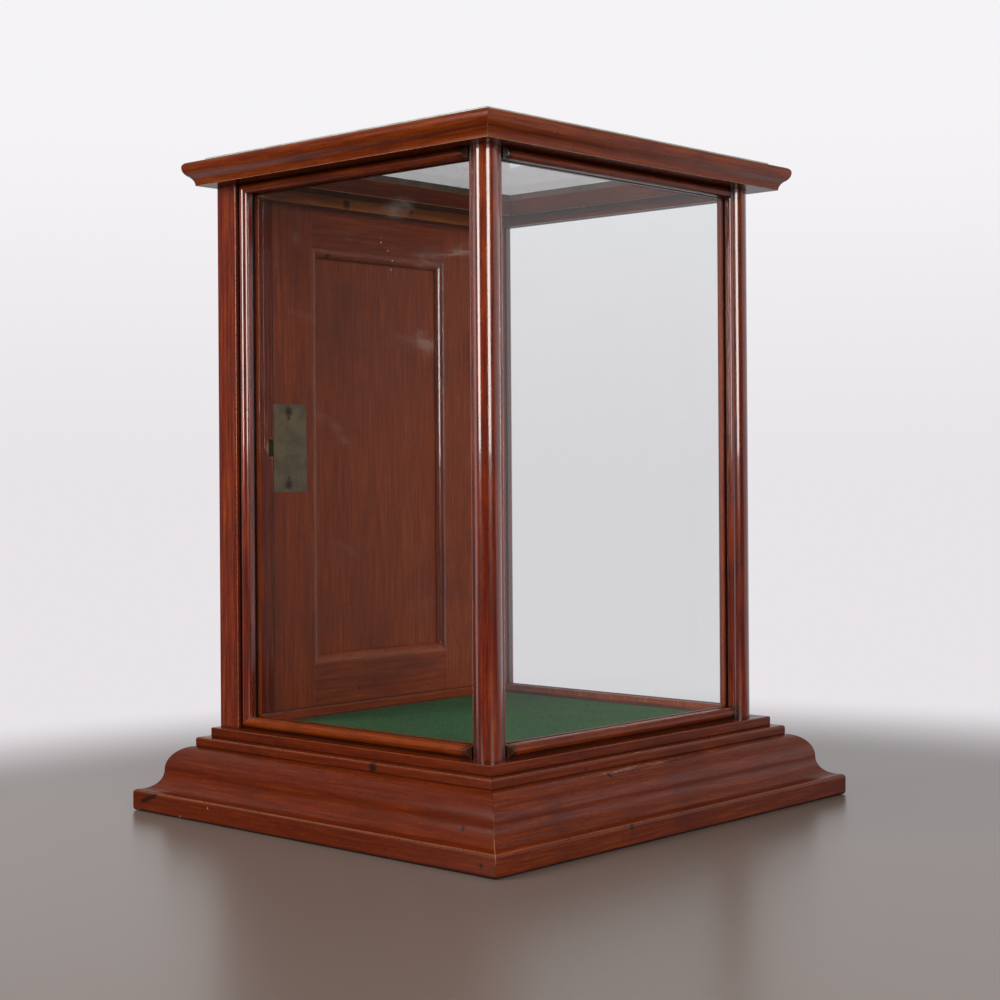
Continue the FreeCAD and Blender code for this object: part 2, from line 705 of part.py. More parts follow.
def screwAt(name, spot, direction, seat):
    """A slotted countersunk screw whose head is flush with a plate of thickness seat."""
    axis, sign = direction
    way = screwWays[direction]
    index = "xyz".index(axis)
    under = list(spot)
    under[index] = under[index] + sign * seat
    head = rod(name + "Head", spot, way, seat, screwHeadRadius, screwShankRadius)
    shank = rod(name + "Shank", under, way, screwLength - seat, screwShankRadius)
    slotLow = [part - screwHeadRadius for part in spot]
    slotHigh = [part + screwHeadRadius for part in spot]
    narrow = 2 if index == 0 else 0
    slotLow[narrow] = spot[narrow] - screwSlotWidth / 2
    slotHigh[narrow] = spot[narrow] + screwSlotWidth / 2
    slotLow[index] = spot[index] - sign * overrun
    slotHigh[index] = spot[index] + sign * screwSlotDepth
    return cut(name, join(name + "Whole", [head, shank]), [between(name + "Slot", slotLow, slotHigh)])


def screwHole(name, spot, direction, seat):
    way = screwWays[direction]
    head = rod(name + "Sink", spot, way, seat, screwHeadRadius + screwFit, screwShankRadius + screwFit)
    shank = rod(name + "Bore", spot, way, screwLength + screwFit, screwShankRadius + screwFit)
    return [head, shank]


# The door.

def doorFrame():
    groove = panelTongue + panelGap
    cuts = {}
    for hand, name in ((-1, "door_lock_stile"), (1, "door_hinge_stile")):
        inner = (hand * panelSide, rearFace, doorHead)
        whole = between(name + "Whole", (hand * doorSide, doorInner, doorFoot), inner)
        tools = [between("stileGroove", (hand * (panelSide + groove), panelInner, panelFoot - groove),
                         (hand * (panelSide - overrun), panelOuter, panelHead + groove))]
        for foot, top in tenonHeights():
            tools.append(between("mortise", (hand * (panelSide + tenonLength + tenonGap), panelInner, foot),
                                 (hand * (panelSide - overrun), panelOuter, top)))
        cuts[name] = (whole, tools)
    rails = (("door_bottom_rail", doorFoot, panelFoot), ("door_top_rail", panelHead, doorHead))
    for (name, foot, top), (tenonFoot, tenonTop) in zip(rails, tenonHeights()):
        edge = panelFoot if foot is doorFoot else panelHead
        reach = panelSide + tenonLength
        whole = join(name + "Whole", [
            box(name + "Plank", (-panelSide, doorInner, foot), (panelSide, rearFace, top)),
            box(name + "Tenons", (-reach, panelInner, tenonFoot), (reach, panelOuter, tenonTop)),
        ])
        low = (-panelSide, panelInner, edge - groove)
        tool = box("railGroove", low, (panelSide, panelOuter, edge + groove))
        node(name, cut(name + "Cut", whole, [tool]))
    return cuts


def tenonHeights():
    groove = panelTongue + panelGap
    return ((doorFoot + tenonShoulder, panelFoot - groove), (panelHead + groove, doorHead - tenonShoulder))


def doorPanel():
    reach = panelSide + panelTongue
    panel = box("doorPanel", (-reach, panelInner, panelFoot - panelTongue),
                (reach, panelOuter, panelHead + panelTongue))
    node("door_panel", panel)
    width, depth, flat = mouldingWidth, panelRecess, mouldingFlat
    section = [(-width, 0), (0, 0), (0, depth), (-flat, depth), (-width, flat, mouldingRadius, 1)]
    halfHeight = (panelHead - panelFoot) / 2
    middle = (panelHead + panelFoot) / 2
    sides = (
        ("bottom", 0, panelSide, 0, panelFoot), ("right", 90, halfHeight, panelSide, middle),
        ("top", 180, panelSide, 0, panelHead), ("left", 270, halfHeight, -panelSide, middle),
    )
    upright = FreeCAD.Rotation(Vector(1, 0, 0), 90)
    for side, angle, halfSpan, x, z in sides:
        body = mitredLength("door_moulding_" + side, section, asLength(0), width, halfSpan)
        turn = FreeCAD.Rotation(Vector(0, 0, 1), angle)
        body.Placement = FreeCAD.Placement(Vector(0, 0, 0), upright.multiply(turn))
        place(body, x, panelInner, z)
        node("door_moulding_" + side, body)


# The lock.

def keyholeTools(name, grow, near, far):
    """The keyhole's eye and slot between two depths, grown all round."""
    x = keySetback - doorSide
    z = lockZ - keyDrop
    eye = rod(name + "Eye", (x, near, z), alongY, far - near, keyholeRadius + grow)
    half = keySlotWidth / 2 + grow
    slot = box(name + "Slot", (x - half, near, z - keySlotLength - grow), (x + half, far, z))
    return [eye, slot]


def lock():
    edge = -doorSide
    plateBack = doorInner + lockSheet
    caseBack = plateBack + lockCaseDepth
    upPlate = lockPlateHeight / 2
    upCase = lockCaseHeight / 2
    boltFace = doorInner + boltDepth
    boltBack = boltFace + boltThickness
    corner = (edge, doorInner, lockZ - upPlate)
    plate = box("lockPlate", corner, (edge + lockPlateWidth, plateBack, lockZ + upPlate))
    fore = box("lockEdgePlate", corner, (edge + lockSheet, caseBack, lockZ + upPlate))
    shellTop = (edge + lockCaseWidth, caseBack, lockZ + upCase)
    shell = box("lockShell", (edge, plateBack, lockZ - upCase), shellTop)
    room = box("lockRoom", (edge + lockSheet, plateBack, lockZ - upCase + lockSheet),
               (edge + lockCaseWidth - lockSheet, caseBack - lockSheet, lockZ + upCase - lockSheet))
    halfSlot = boltHeight / 2 + boltFit
    slot = box("boltSlot", (edge - overrun, boltFace - boltFit, lockZ - halfSlot),
               (edge + lockSheet + boltFit, boltBack + boltFit, lockZ + halfSlot))
    screwX = edge + lockScrewIn
    screwSpots = [(screwX, doorInner, lockZ + hand * (upPlate - lockScrewUp)) for hand in (-1, 1)]
    holes = [tool for index, spot in enumerate(screwSpots)
             for tool in screwHole("lockHole" + str(index), spot, ("y", 1), lockSheet)]
    keyhole = keyholeTools("caseKeyhole", asLength(0), caseBack - lockSheet, caseBack + overrun)
    case = cut("lockCaseCut", join("lockCaseWhole", [plate, fore, shell]), [room, slot] + holes + keyhole)
    keyX = edge + keySetback
    pin = rod("keyPin", (keyX, plateBack, lockZ - keyDrop), alongY, lockCaseDepth, keyPinRadius)
    node("lock_case", join("lockCase", [case, pin]))
    screws = [screwAt("lockScrew" + str(index), spot, ("y", 1), lockSheet)
              for index, spot in enumerate(screwSpots)]

    tip = edge + boltSet
    upBolt = boltHeight / 2
    bar = box("boltBar", (tip, boltFace, lockZ - upBolt), (tip + boltLength, boltBack, lockZ + upBolt))
    talon = box("boltTalon", (keyX - talonWidth / 2, boltFace - overrun, lockZ - upBolt - overrun),
                (keyX + talonWidth / 2, boltBack + overrun, lockZ - upBolt + talonHeight))
    node("lock_bolt", cut("lockBolt", bar, [talon]))

    spring = newBody("lockSpring")
    end = lockCaseWidth - lockSheet
    start = end - springLength
    under = upBolt + springGap + springRise
    over = under + springThickness
    bow = (springLength * springLength / 4 + springRise * springRise) / (springRise * 2)
    leaf = [(start, under), (end, under, bow, 1), (end, over), (start, over, bow, -1)]
    pad(spring, "springLeaf", "XZ_Plane", leaf, springWidth)
    place(spring, edge, boltFace + boltThickness / 2, lockZ)
    node("lock_spring", spring)

    tools = [tool for index, spot in enumerate(screwSpots)
             for tool in screwHole("stileLockHole" + str(index), spot, ("y", 1), lockSheet)]
    tools += [
        between("plateRecess", (edge - overrun, doorInner - overrun, lockZ - upPlate - lockFit),
                (edge + lockPlateWidth + lockFit, plateBack, lockZ + upPlate + lockFit)),
        between("foreRecess", (edge - overrun, doorInner, lockZ - upPlate - lockFit),
                (edge + lockSheet, caseBack + lockFit, lockZ + upPlate + lockFit)),
        between("caseMortise", (edge, doorInner, lockZ - upCase - lockFit),
                (edge + lockCaseWidth + lockFit, caseBack + lockFit, lockZ + upCase + lockFit)),
    ]
    tools += keyholeTools("stileKeyhole", asLength(0), caseBack - overrun, rearFace + overrun)
    escutcheonFace = rearFace - escutcheonSheet
    tools += keyholeTools("escutcheonRecess", escutcheonRim, escutcheonFace, rearFace + overrun)
    rim = join("escutcheonWhole", keyholeTools("escutcheonRim", escutcheonRim, escutcheonFace, rearFace))
    hole = keyholeTools("escutcheonHole", asLength(0), escutcheonFace - overrun, rearFace + overrun)
    node("keyhole_escutcheon", cut("escutcheon", rim, hole))
    upStrike = upBolt + strikeSpace
    strike = between("strikeNotch", (-openingSide + overrun, postFront - overrun, lockZ - upStrike),
                     (tip - boltThrow - strikeSpace, boltBack + strikeSpace, lockZ + upStrike))
    return tools, strike, screws


# The hinges.

def hinges(lockScrews):
    postTools, doorTools, pins, postScrews, doorScrews = [], [], [], [], list(lockScrews)
    for height, middle in zip(("lower", "upper"), hingeHeights):
        foot, top = middle - hingeHeight / 2, middle + hingeHeight / 2
        leaves = (
            ("frame", openingSide, 1, 0, postTools, postScrews),
            ("door", doorSide, -1, 1, doorTools, doorScrews),
        )
        for owner, face, sign, first, tools, screws in leaves:
            name = "hinge_" + height + "_" + owner + "_leaf"
            back = face + sign * hingeSheet
            whole = [between(name + "Plate", (face, rearFace - hingeWidth, foot), (back, rearFace, top))]
            for index in range(first, knuckleCount, 2):
                low = foot + hingeHeight * index / knuckleCount + knuckleGap / 2
                high = foot + hingeHeight * (index + 1) / knuckleCount - knuckleGap / 2
                whole.append(between(name + "Tab", (face, rearFace, low), (back, hingeY, high)))
                whole.append(rod(name + "Knuckle", (hingeX, hingeY, low), alongZ, high - low, knuckleRadius))
            bore = rod(name + "Bore", (hingeX, hingeY, foot - overrun), alongZ, hingeHeight + overrun * 2,
                       hingePinRadius + pinFit)
            cuts = [bore]
            tools.append(between(name + "Recess", (face - sign * overrun, rearFace - hingeWidth, foot),
                                 (back, rearFace + overrun, top)))
            for index, level in enumerate((middle - screwSpread, middle, middle + screwSpread)):
                spot = (face, rearFace - screwInset, level)
                screw = name + "Screw" + str(index)
                screws.append(screwAt(screw, spot, ("x", sign), hingeSheet))
                cuts += screwHole(screw + "LeafHole", spot, ("x", sign), hingeSheet)
                tools += screwHole(screw + "WoodHole", spot, ("x", sign), hingeSheet)
            node(name, cut(name + "Cut", join(name + "Whole", whole), cuts))
        pins.append(rod("hingePin", (hingeX, hingeY, foot), alongZ, hingeHeight, hingePinRadius))
    node("hinge_pins", group("hingePins", pins))
    node("hinge_screws_frame", group("hingeScrewsFrame", postScrews))
    node("door_screws", group("doorScrews", doorScrews))
    return postTools, doorTools


def build():
    baseMouldings()
    steps()
    floorPieces()
    glueBlocks()
    frontPosts()
    bottomRails()
    topRails()
    cornice()
    topGlass()
    sidePanes()
    stiles = doorFrame()
    doorPanel()
    lockTools, strike, lockScrews = lock()
    postTools, doorTools = hinges(lockScrews)
    for name, extra in (("door_lock_stile", lockTools), ("door_hinge_stile", doorTools)):
        whole, tools = stiles[name]
        node(name, cut(name + "Cut", whole, tools + extra))
    for name, hand, extra in (("left", -1, [strike]), ("right", 1, postTools)):
        whole, rebate = rearPost(name, hand)
        node("rear_post_" + name, cut("rearPostCut" + name, whole, [rebate] + extra))


def check():
    for thing in doc.Objects:
        if "Invalid" in thing.State or "Error" in thing.State:
            raise RuntimeError(thing.Name + " failed: " + ", ".join(thing.State))
    for thing in nodes:
        if thing.Shape.isNull() or not thing.Shape.isValid() or not thing.Shape.Solids:
            raise RuntimeError(thing.Label + " has no sound solid")


def export():
    os.makedirs("parts", exist_ok=True)
    for thing in nodes:
        shape = thing.Shape
        whole = shape.Solids[0] if len(shape.Solids) == 1 else shape
        whole.exportStep(os.path.join("parts", thing.Label + ".step"))


build()
doc.recompute()
check()
export()
print(len(nodes), "pieces, total height", round(corniceTop.value + topGlassThickness.value, 1))
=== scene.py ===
import bmesh
import bpy
import json
import math
import random
from functools import partial
from mathutils import Matrix, Vector

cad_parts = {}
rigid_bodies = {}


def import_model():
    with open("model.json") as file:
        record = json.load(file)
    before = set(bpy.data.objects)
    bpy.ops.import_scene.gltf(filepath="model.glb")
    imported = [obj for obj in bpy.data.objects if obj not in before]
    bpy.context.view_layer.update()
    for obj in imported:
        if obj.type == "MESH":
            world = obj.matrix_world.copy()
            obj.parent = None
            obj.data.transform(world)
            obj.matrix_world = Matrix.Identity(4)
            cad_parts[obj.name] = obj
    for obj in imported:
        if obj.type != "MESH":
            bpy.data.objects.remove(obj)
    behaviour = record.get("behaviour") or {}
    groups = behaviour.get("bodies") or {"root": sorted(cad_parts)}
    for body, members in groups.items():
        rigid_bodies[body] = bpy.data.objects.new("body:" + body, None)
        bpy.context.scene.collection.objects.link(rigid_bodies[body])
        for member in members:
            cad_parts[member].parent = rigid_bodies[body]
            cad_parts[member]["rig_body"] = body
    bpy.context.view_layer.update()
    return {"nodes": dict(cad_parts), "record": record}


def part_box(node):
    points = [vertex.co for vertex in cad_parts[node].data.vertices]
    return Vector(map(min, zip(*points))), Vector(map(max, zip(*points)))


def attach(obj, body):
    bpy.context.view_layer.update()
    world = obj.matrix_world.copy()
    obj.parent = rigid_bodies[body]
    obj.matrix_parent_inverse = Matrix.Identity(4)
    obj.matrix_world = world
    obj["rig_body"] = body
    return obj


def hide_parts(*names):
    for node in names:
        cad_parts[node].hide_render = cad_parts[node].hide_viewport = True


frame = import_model()
nodes = frame["nodes"]
print("frame loaded:", len(nodes), "nodes")

mm = 0.001

# Camera, as the case was seen: level, from the front left corner, a little longer than normal.
view = {
    "place": (-1.19783, -1.10362, 0.29037),
    "forward": (0.73795, 0.67485, 0.0011),
    "right": (0.674845, -0.737928, -0.006819),
    "lens": 67.19,
    "sensor": 36.0,
    "shiftUp": -0.033,
}

studio = {
    "wall": "#f5f3f6",  # pale wall behind the case, high up
    "wallLow": "#e8e4e8",  # and low down, where it meets the floor
    "wallRise": (-0.02, 0.2),  # slopes of the line of sight between which the one turns into the other
    "ceiling": "#a39c98", "ceilingRise": (0.3, 0.5),  # and between the wall and a duller ceiling
    "room": "#5c5754",  # unlit room to the left of the camera
    "wallMiddle": 25.0,  # degrees from +X to the middle of the pale walls
    "darkMiddle": 133.0,  # and to the darkest side, which the left pane mirrors
    "wallEdge": (-0.25, 0.08),  # cosines of the angles from that middle at which room turns into wall
    "light": "#fffdfb",  # light that comes evenly from all round
    "lightStrength": 0.18,
    "floor": "#665c56", "floorRoughness": 0.3,  # a satin table top
    "floorBounce": "#5c4a42",  # the same top in the light that it throws up at the case
    "floorSize": 60.0,  # m from its middle to its sides
    "floorFade": (0.9, 1.9),  # m from the case at which the floor turns into the room
    "floorNearer": (1.3, 1.2),  # share by which it does so sooner behind the case and to its left
}

lampAim = (0.0, 0.0, 0.28)  # the middle of the case
lamps = {  # place and size in m
    "keySoftbox": {"place": (-0.8, -1.5, 0.84), "size": (0.62, 1.1), "watts": 26.0, "colour": "#fff9f4"},
    "leftSoftbox": {"place": (-1.49, 0.55, 0.84), "size": (0.6, 1.1), "watts": 25.0, "colour": "#fff9f4"},
    "topSoftbox": {"place": (-0.2, -0.1, 2.1), "size": (1.6, 1.6), "watts": 6.0, "colour": "#ffffff"},
}

# How each piece of wood runs: the axis of its grain, how far its sharp edges are rubbed round (mm),
# and how much darker or lighter it is than its neighbours.
wood = {
    "base_moulding_front": ("x", 1.0, 0.3), "base_moulding_back": ("x", 1.0, 0.0),
    "base_moulding_left": ("y", 1.0, -0.5), "base_moulding_right": ("y", 1.0, -0.1),
    "lower_step_front": ("x", 0.5, 0.0), "lower_step_back": ("x", 0.5, 0.1),
    "lower_step_left": ("y", 0.5, -0.3), "lower_step_right": ("y", 0.5, 0.0),
    "upper_step_front": ("x", 0.5, -0.1), "upper_step_back": ("x", 0.5, 0.0),
    "upper_step_left": ("y", 0.5, -0.6), "upper_step_right": ("y", 0.5, 0.1),
    "bottom_rail_front": ("x", 0.2, 0.8), "bottom_rail_left": ("y", 0.2, 1.2),
    "bottom_rail_right": ("y", 0.2, 0.8), "door_threshold": ("x", 0.4, 0.1),
    "front_post_left": ("z", 0.4, 0.0), "front_post_right": ("z", 0.4, -0.3),
    "rear_post_left": ("z", 0.4, -0.3), "rear_post_right": ("z", 0.4, 0.0),
    "top_rail_front": ("x", 0.2, 0.8), "top_rail_left": ("y", 0.2, 1.0),
    "top_rail_right": ("y", 0.2, 0.8), "door_header": ("x", 0.4, 0.4),
    "cornice_front": ("x", 0.25, 1.3), "cornice_back": ("x", 0.25, 0.2),
    "cornice_left": ("y", 0.25, 0.9), "cornice_right": ("y", 0.25, 0.2),
    "cornice_back_board": ("x", 0.5, 0.0),
    "glazing_beads_front": ("z", 0.3, 0.0), "glazing_beads_left": ("z", 0.3, 0.0),
    "glazing_beads_right": ("z", 0.3, 0.0),
    "door_lock_stile": ("z", 0.3, -0.3), "door_hinge_stile": ("z", 0.3, 0.4),
    "door_top_rail": ("x", 0.3, -0.4), "door_bottom_rail": ("x", 0.3, -0.2),
    "door_panel": ("z", 0.3, 0.1),
    "door_moulding_bottom": ("x", 0.2, 0.8), "door_moulding_top": ("x", 0.2, -0.2),
    "door_moulding_left": ("z", 0.2, 0.6), "door_moulding_right": ("z", 0.2, 0.4),
}
baseRings = ("base_moulding", "lower_step", "upper_step")
mitredRings = baseRings + ("cornice_front", "cornice_left", "cornice_right", "cornice_back")
# The round noses of plinth and steps get a painted highlight, partly wear where the polish is thin: the
# upward tilts that are painted paler, how pale they turn, and the height (mm) up to which a base moulding is
# plinth.
noseWearAndHighlight = {"tilt": (0.6, 0.9), "wearAndHighlight": 0.18, "plinthTop": 18.0}
# How the solids' meshes are made whole and rounded.
meshing = {
    "weld": 0.002,  # mm
    "flat": 0.4,  # degrees up to which two faces are one flat
    "arris": 30.0,  # degrees from which an edge is rubbed round
    "crease": 40.0,  # degrees from which an edge stays sharp to the light
    "mitreFace": 6.0,  # mm, the side of a square as large as the smallest mitred end
    "grainShift": 4000,  # mm by which pieces are moved in the wood's pattern, so that no two are alike
}


def linear(colour):
    # sRGB hex to linear RGBA
    parts = [int(colour[i:i + 2], 16) / 255 for i in (1, 3, 5)]
    return (*[c / 12.92 if c <= 0.04045 else ((c + 0.055) / 1.055) ** 2.4 for c in parts], 1.0)


def addNode(tree, kind, inputs=None, **settings):
    # an input is a value, a socket, or a node, whose first working output it then takes
    made = tree.nodes.new(kind if "Node" in kind else "ShaderNode" + kind)
    for name, value in settings.items():
        setattr(made, name, value)
    for name, value in (inputs or {}).items():
        if isinstance(value, bpy.types.Node):
            value = next(socket for socket in value.outputs if socket.enabled)
        if isinstance(value, bpy.types.NodeSocket):
            tree.links.new(value, made.inputs[name])
        else:
            made.inputs[name].default_value = value
    return made


def newMaterial(name):
    # an empty material, and what adds nodes to it
    material = bpy.data.materials.new(name)
    material.use_nodes = True
    material.node_tree.nodes.clear()
    return material, partial(addNode, material.node_tree)


def placeInMm(add):
    return add("VectorMath", {0: add("TexCoord").outputs["Object"], 1: (1 / mm,) * 3}, operation="MULTIPLY")


def masked(add, field, span, share=None):
    # how far a field is from one end of a span to the other, smoothly, and by a share
    mask = add("MapRange", {"Value": field, "From Min": span[0], "From Max": span[1]},
               interpolation_type="SMOOTHSTEP")
    return mask if share is None else add("Math", {0: mask, 1: share}, operation="MULTIPLY")


def noiseOf(add, place, scale, detail=3.0, roughness=0.5, distortion=0.0):
    # noise of a place in mm; scale is one number, or features per mm along, across and through the grain
    scale = (scale,) * 3 if isinstance(scale, float) else scale
    return add("TexNoise", {
        "Vector": add("VectorMath", {0: place, 1: scale}, operation="MULTIPLY"),
        "Scale": 1.0, "Detail": detail, "Roughness": roughness, "Distortion": distortion,
    })


def tinted(add, colour, mask, share, other):
    # a colour turned by a share to another one where the mask is 1
    part = add("Math", {0: mask, 1: share}, operation="MULTIPLY")
    return add("Mix", {0: part, 6: colour, 7: linear(other)}, data_type="RGBA")


# French-polished mahogany: red-brown wood with short dark pores along the grain, under thin shellac that is
# glossy on the flats.
# The arrises are painted paler, partly wear and partly painted highlight, and the corners darker, partly dirt
# and partly painted shade.
polished = {
    "dark": "#490f03", "middle": "#681e05", "light": "#893e0d", "pore": "#220602",
    # the pale colour is wear and painted highlight on the arrises; the near-black is dirt and painted shade
    # in corners and marks
    "wearAndHighlight": "#a5805f", "shadeAndGrime": "#110502", "stain": "#360a03",
    "paleEdgeShare": 0.65, "paleEdgeFrom": (0.36, 0.58),  # how pale the arrises are, and which specks leave some dark
    "paleEdgeOpen": (0.8, 0.95), "wornRough": 0.2,  # only away from corners, and how much less smooth
    "figure": (0.004, 0.03, 0.03),  # broad ribbons, about 250 by 33 mm
    "figureShare": 0.28,  # and the rest of the pattern is streaks
    "lines": (0.02, 0.45, 0.45),  # streaks about 50 by 2 mm, and finer ones within them
    "middleFrom": (0.32, 0.54), "lightFrom": (0.48, 0.74),  # where the pattern turns middle, and then light
    "toneShare": 0.1,  # how far a piece's own tone moves the pattern
    "pores": (0.22, 1.3, 1.3),  # pores about 5 by 0.8 mm: wider than real ones, so that they show
    "poreShare": 0.45, "poreFrom": (0.54, 0.68),
    "patches": 0.016, "stainFrom": (0.48, 0.72), "stainShare": 0.4,  # stains and dull spots about 60 mm wide
    "specks": 0.5,  # per mm, for ragged rims
    "roughness": (0.14, 0.24), "shine": 0.5,
    "coat": 0.85, "coatRoughness": 0.05, "index": 1.45,
    "ledgeDull": 0.75,  # share of the gloss lost on level faces, which are dusty above and unpolished below
    "ledgeFrom": (0.9, 0.99),  # the tilts at which a face turns level
    "insideDull": 0.8,  # and inside the case, which was only waxed
    "inside": ((0.0, -0.6, 0.0), (158.5, 140.4)),  # middle of the room inside, and half its width and depth
    "shadeAndDirtReach": 0.003,  # m from a corner
    "paintedShadeFrom": (0.8, 0.4), "paintedShadeShare": 0.92, "grimeRough": 0.3,  # how closed a corner is that gets painted shade and dirt
    "bare": "#a5794c", "bareSpots": [((-131.0, 146.0, 310.0), 8.0)],  # raw wood inside the bolt's notch
    "mitreMiddle": 18.25,  # mm by which the case is wider than deep, halved: its mitres lie on that line
    "mitreWidth": 0.3, "mitreShare": 0.6, "mitreOpen": (0.3, 0.42),
    "swell": 0.03,  # per mm, for the slight waves of a hand-planed face
    "swellHigh": 2.0, "poreHigh": -0.3, "dentHigh": -1.2,  # relief of the wood
    "bump": {"Strength": 0.4, "Distance": 0.00012},
    "coatPoreHigh": -0.06,  # and of the shellac, which fills most of the pores
    "coatBump": {"Strength": 0.4, "Distance": 0.0003},
    # knots, nail holes and knocks, and painted shade at the rails' ends, as places (mm) with radius (mm)
    "darkSpots": [
        ((-173.0, -148.0, 224.0), 1.6), ((-191.3, -46.2, 58.6), 3.4), ((-205.5, 120.2, 30.6), 2.0),
        ((-212.5, -162.0, 28.4), 1.8), ((-229.4, -196.7, 8.4), 1.5), ((85.6, -186.0, 38.9), 3.4),
        ((-66.6, -183.0, 50.6), 1.8), ((-83.9, -173.0, 57.0), 1.2), ((-74.7, -211.0, 15.3), 2.0),
        ((-0.2, -175.0, 546.8), 1.1), ((5.8, -168.5, 538.6), 1.1), ((126.3, -175.0, 547.0), 1.5),
        ((-118.5, -177.0, 546.7), 1.2), ((-195.5, 90.0, 548.4), 1.2), ((-20.5, -150.5, 528.8), 1.3),
        ((-168.0, 125.8, 499.1), 1.1), ((-168.0, 129.6, 341.0), 1.0), ((-168.0, 127.4, 240.7), 1.0),
        ((68.3, 143.0, 250.1), 2.2),
        # painted shade: dark spots where the rails' beads end at the posts
        ((-170.5, -130.0, 75.5), 6.0), ((-148.0, -152.0, 75.5), 6.0), ((-170.5, -130.0, 531.0), 6.0),
        ((-148.0, -152.0, 531.0), 6.0), ((148.0, -152.0, 75.5), 6.0), ((148.0, -152.0, 531.0), 6.0),
    ],
    "chips": [  # places where the polish has chipped down to pale wood
        ((-229.4, 110.3, 13.2), 0.7), ((-229.4, 147.4, 1.6), 0.9), ((-229.4, 204.0, 1.0), 0.9),
        ((-170.0, 13.9, 79.2), 0.6), ((-170.0, -12.7, 80.2), 0.6),
    ],
    # scratches, from, to, half width
    "gouges": [
        ((-229.4, 197.5, 9.3), (-229.4, 180.5, 15.6), 1.5), ((60.5, 143.5, 391.8), (69.5, 143.5, 391.6), 0.5),
    ],
    "chipShare": 0.6, "darkMarkShare": 0.8, "bareShare": 0.9,  # how far these marks hide the wood's own colour
}


def seenRay(add):
    # 1 where the ray comes from the camera, a gloss or a pane, and 0 where it carries plain light
    path = add("LightPath").outputs
    seen = add("Math", {0: path["Is Camera Ray"], 1: path["Is Glossy Ray"]}, operation="MAXIMUM")
    return add("Math", {0: seen, 1: path["Is Transmission Ray"]}, operation="MAXIMUM")


def marked(add, shares, ragged, soft=0.3):
    # 1 where the least of some distances, in radii, is inside the rim, which is ragged and fades softly
    rim, lowest = 1.2, shares[0]
    for share in shares[1:]:
        lowest = add("Math", {0: lowest, 1: share}, operation="MINIMUM")
    lowest = add("Math", {0: lowest, 1: ragged}, operation="ADD")
    return masked(add, lowest, (rim + soft, rim - soft))


def spotted(add, place, spots, *rim):
    # 1 inside any of the round spots
    shares = []
    for spot, radius in spots:
        away = add("VectorMath", {0: place, 1: spot}, operation="DISTANCE")
        shares.append(add("Math", {0: away, 1: radius}, operation="DIVIDE"))
    return marked(add, shares, *rim)


def gouged(add, place, gouges, *rim):
    # 1 inside any of the long marks
    shares = []
    for start, end, radius in gouges:
        run = Vector(end) - Vector(start)
        offset = add("VectorMath", {0: place, 1: start}, operation="SUBTRACT")
        along = add("VectorMath", {0: offset, 1: run / run.length_squared}, operation="DOT_PRODUCT")
        along = add("Math", {0: along, 1: 1.0}, operation="MINIMUM")
        along = add("Math", {0: along, 1: 0.0}, operation="MAXIMUM")
        nearest = add("VectorMath", {0: run, "Scale": along}, operation="SCALE")
        away = add("VectorMath", {0: offset, 1: nearest}, operation="DISTANCE")
        shares.append(add("Math", {0: away, 1: radius}, operation="DIVIDE"))
    return marked(add, shares, *rim)


def sidesOf(add, place):
    # how far a place is from the middle along each axis
    return add("SeparateXYZ", {0: add("VectorMath", {0: place}, operation="ABSOLUTE")}).outputs


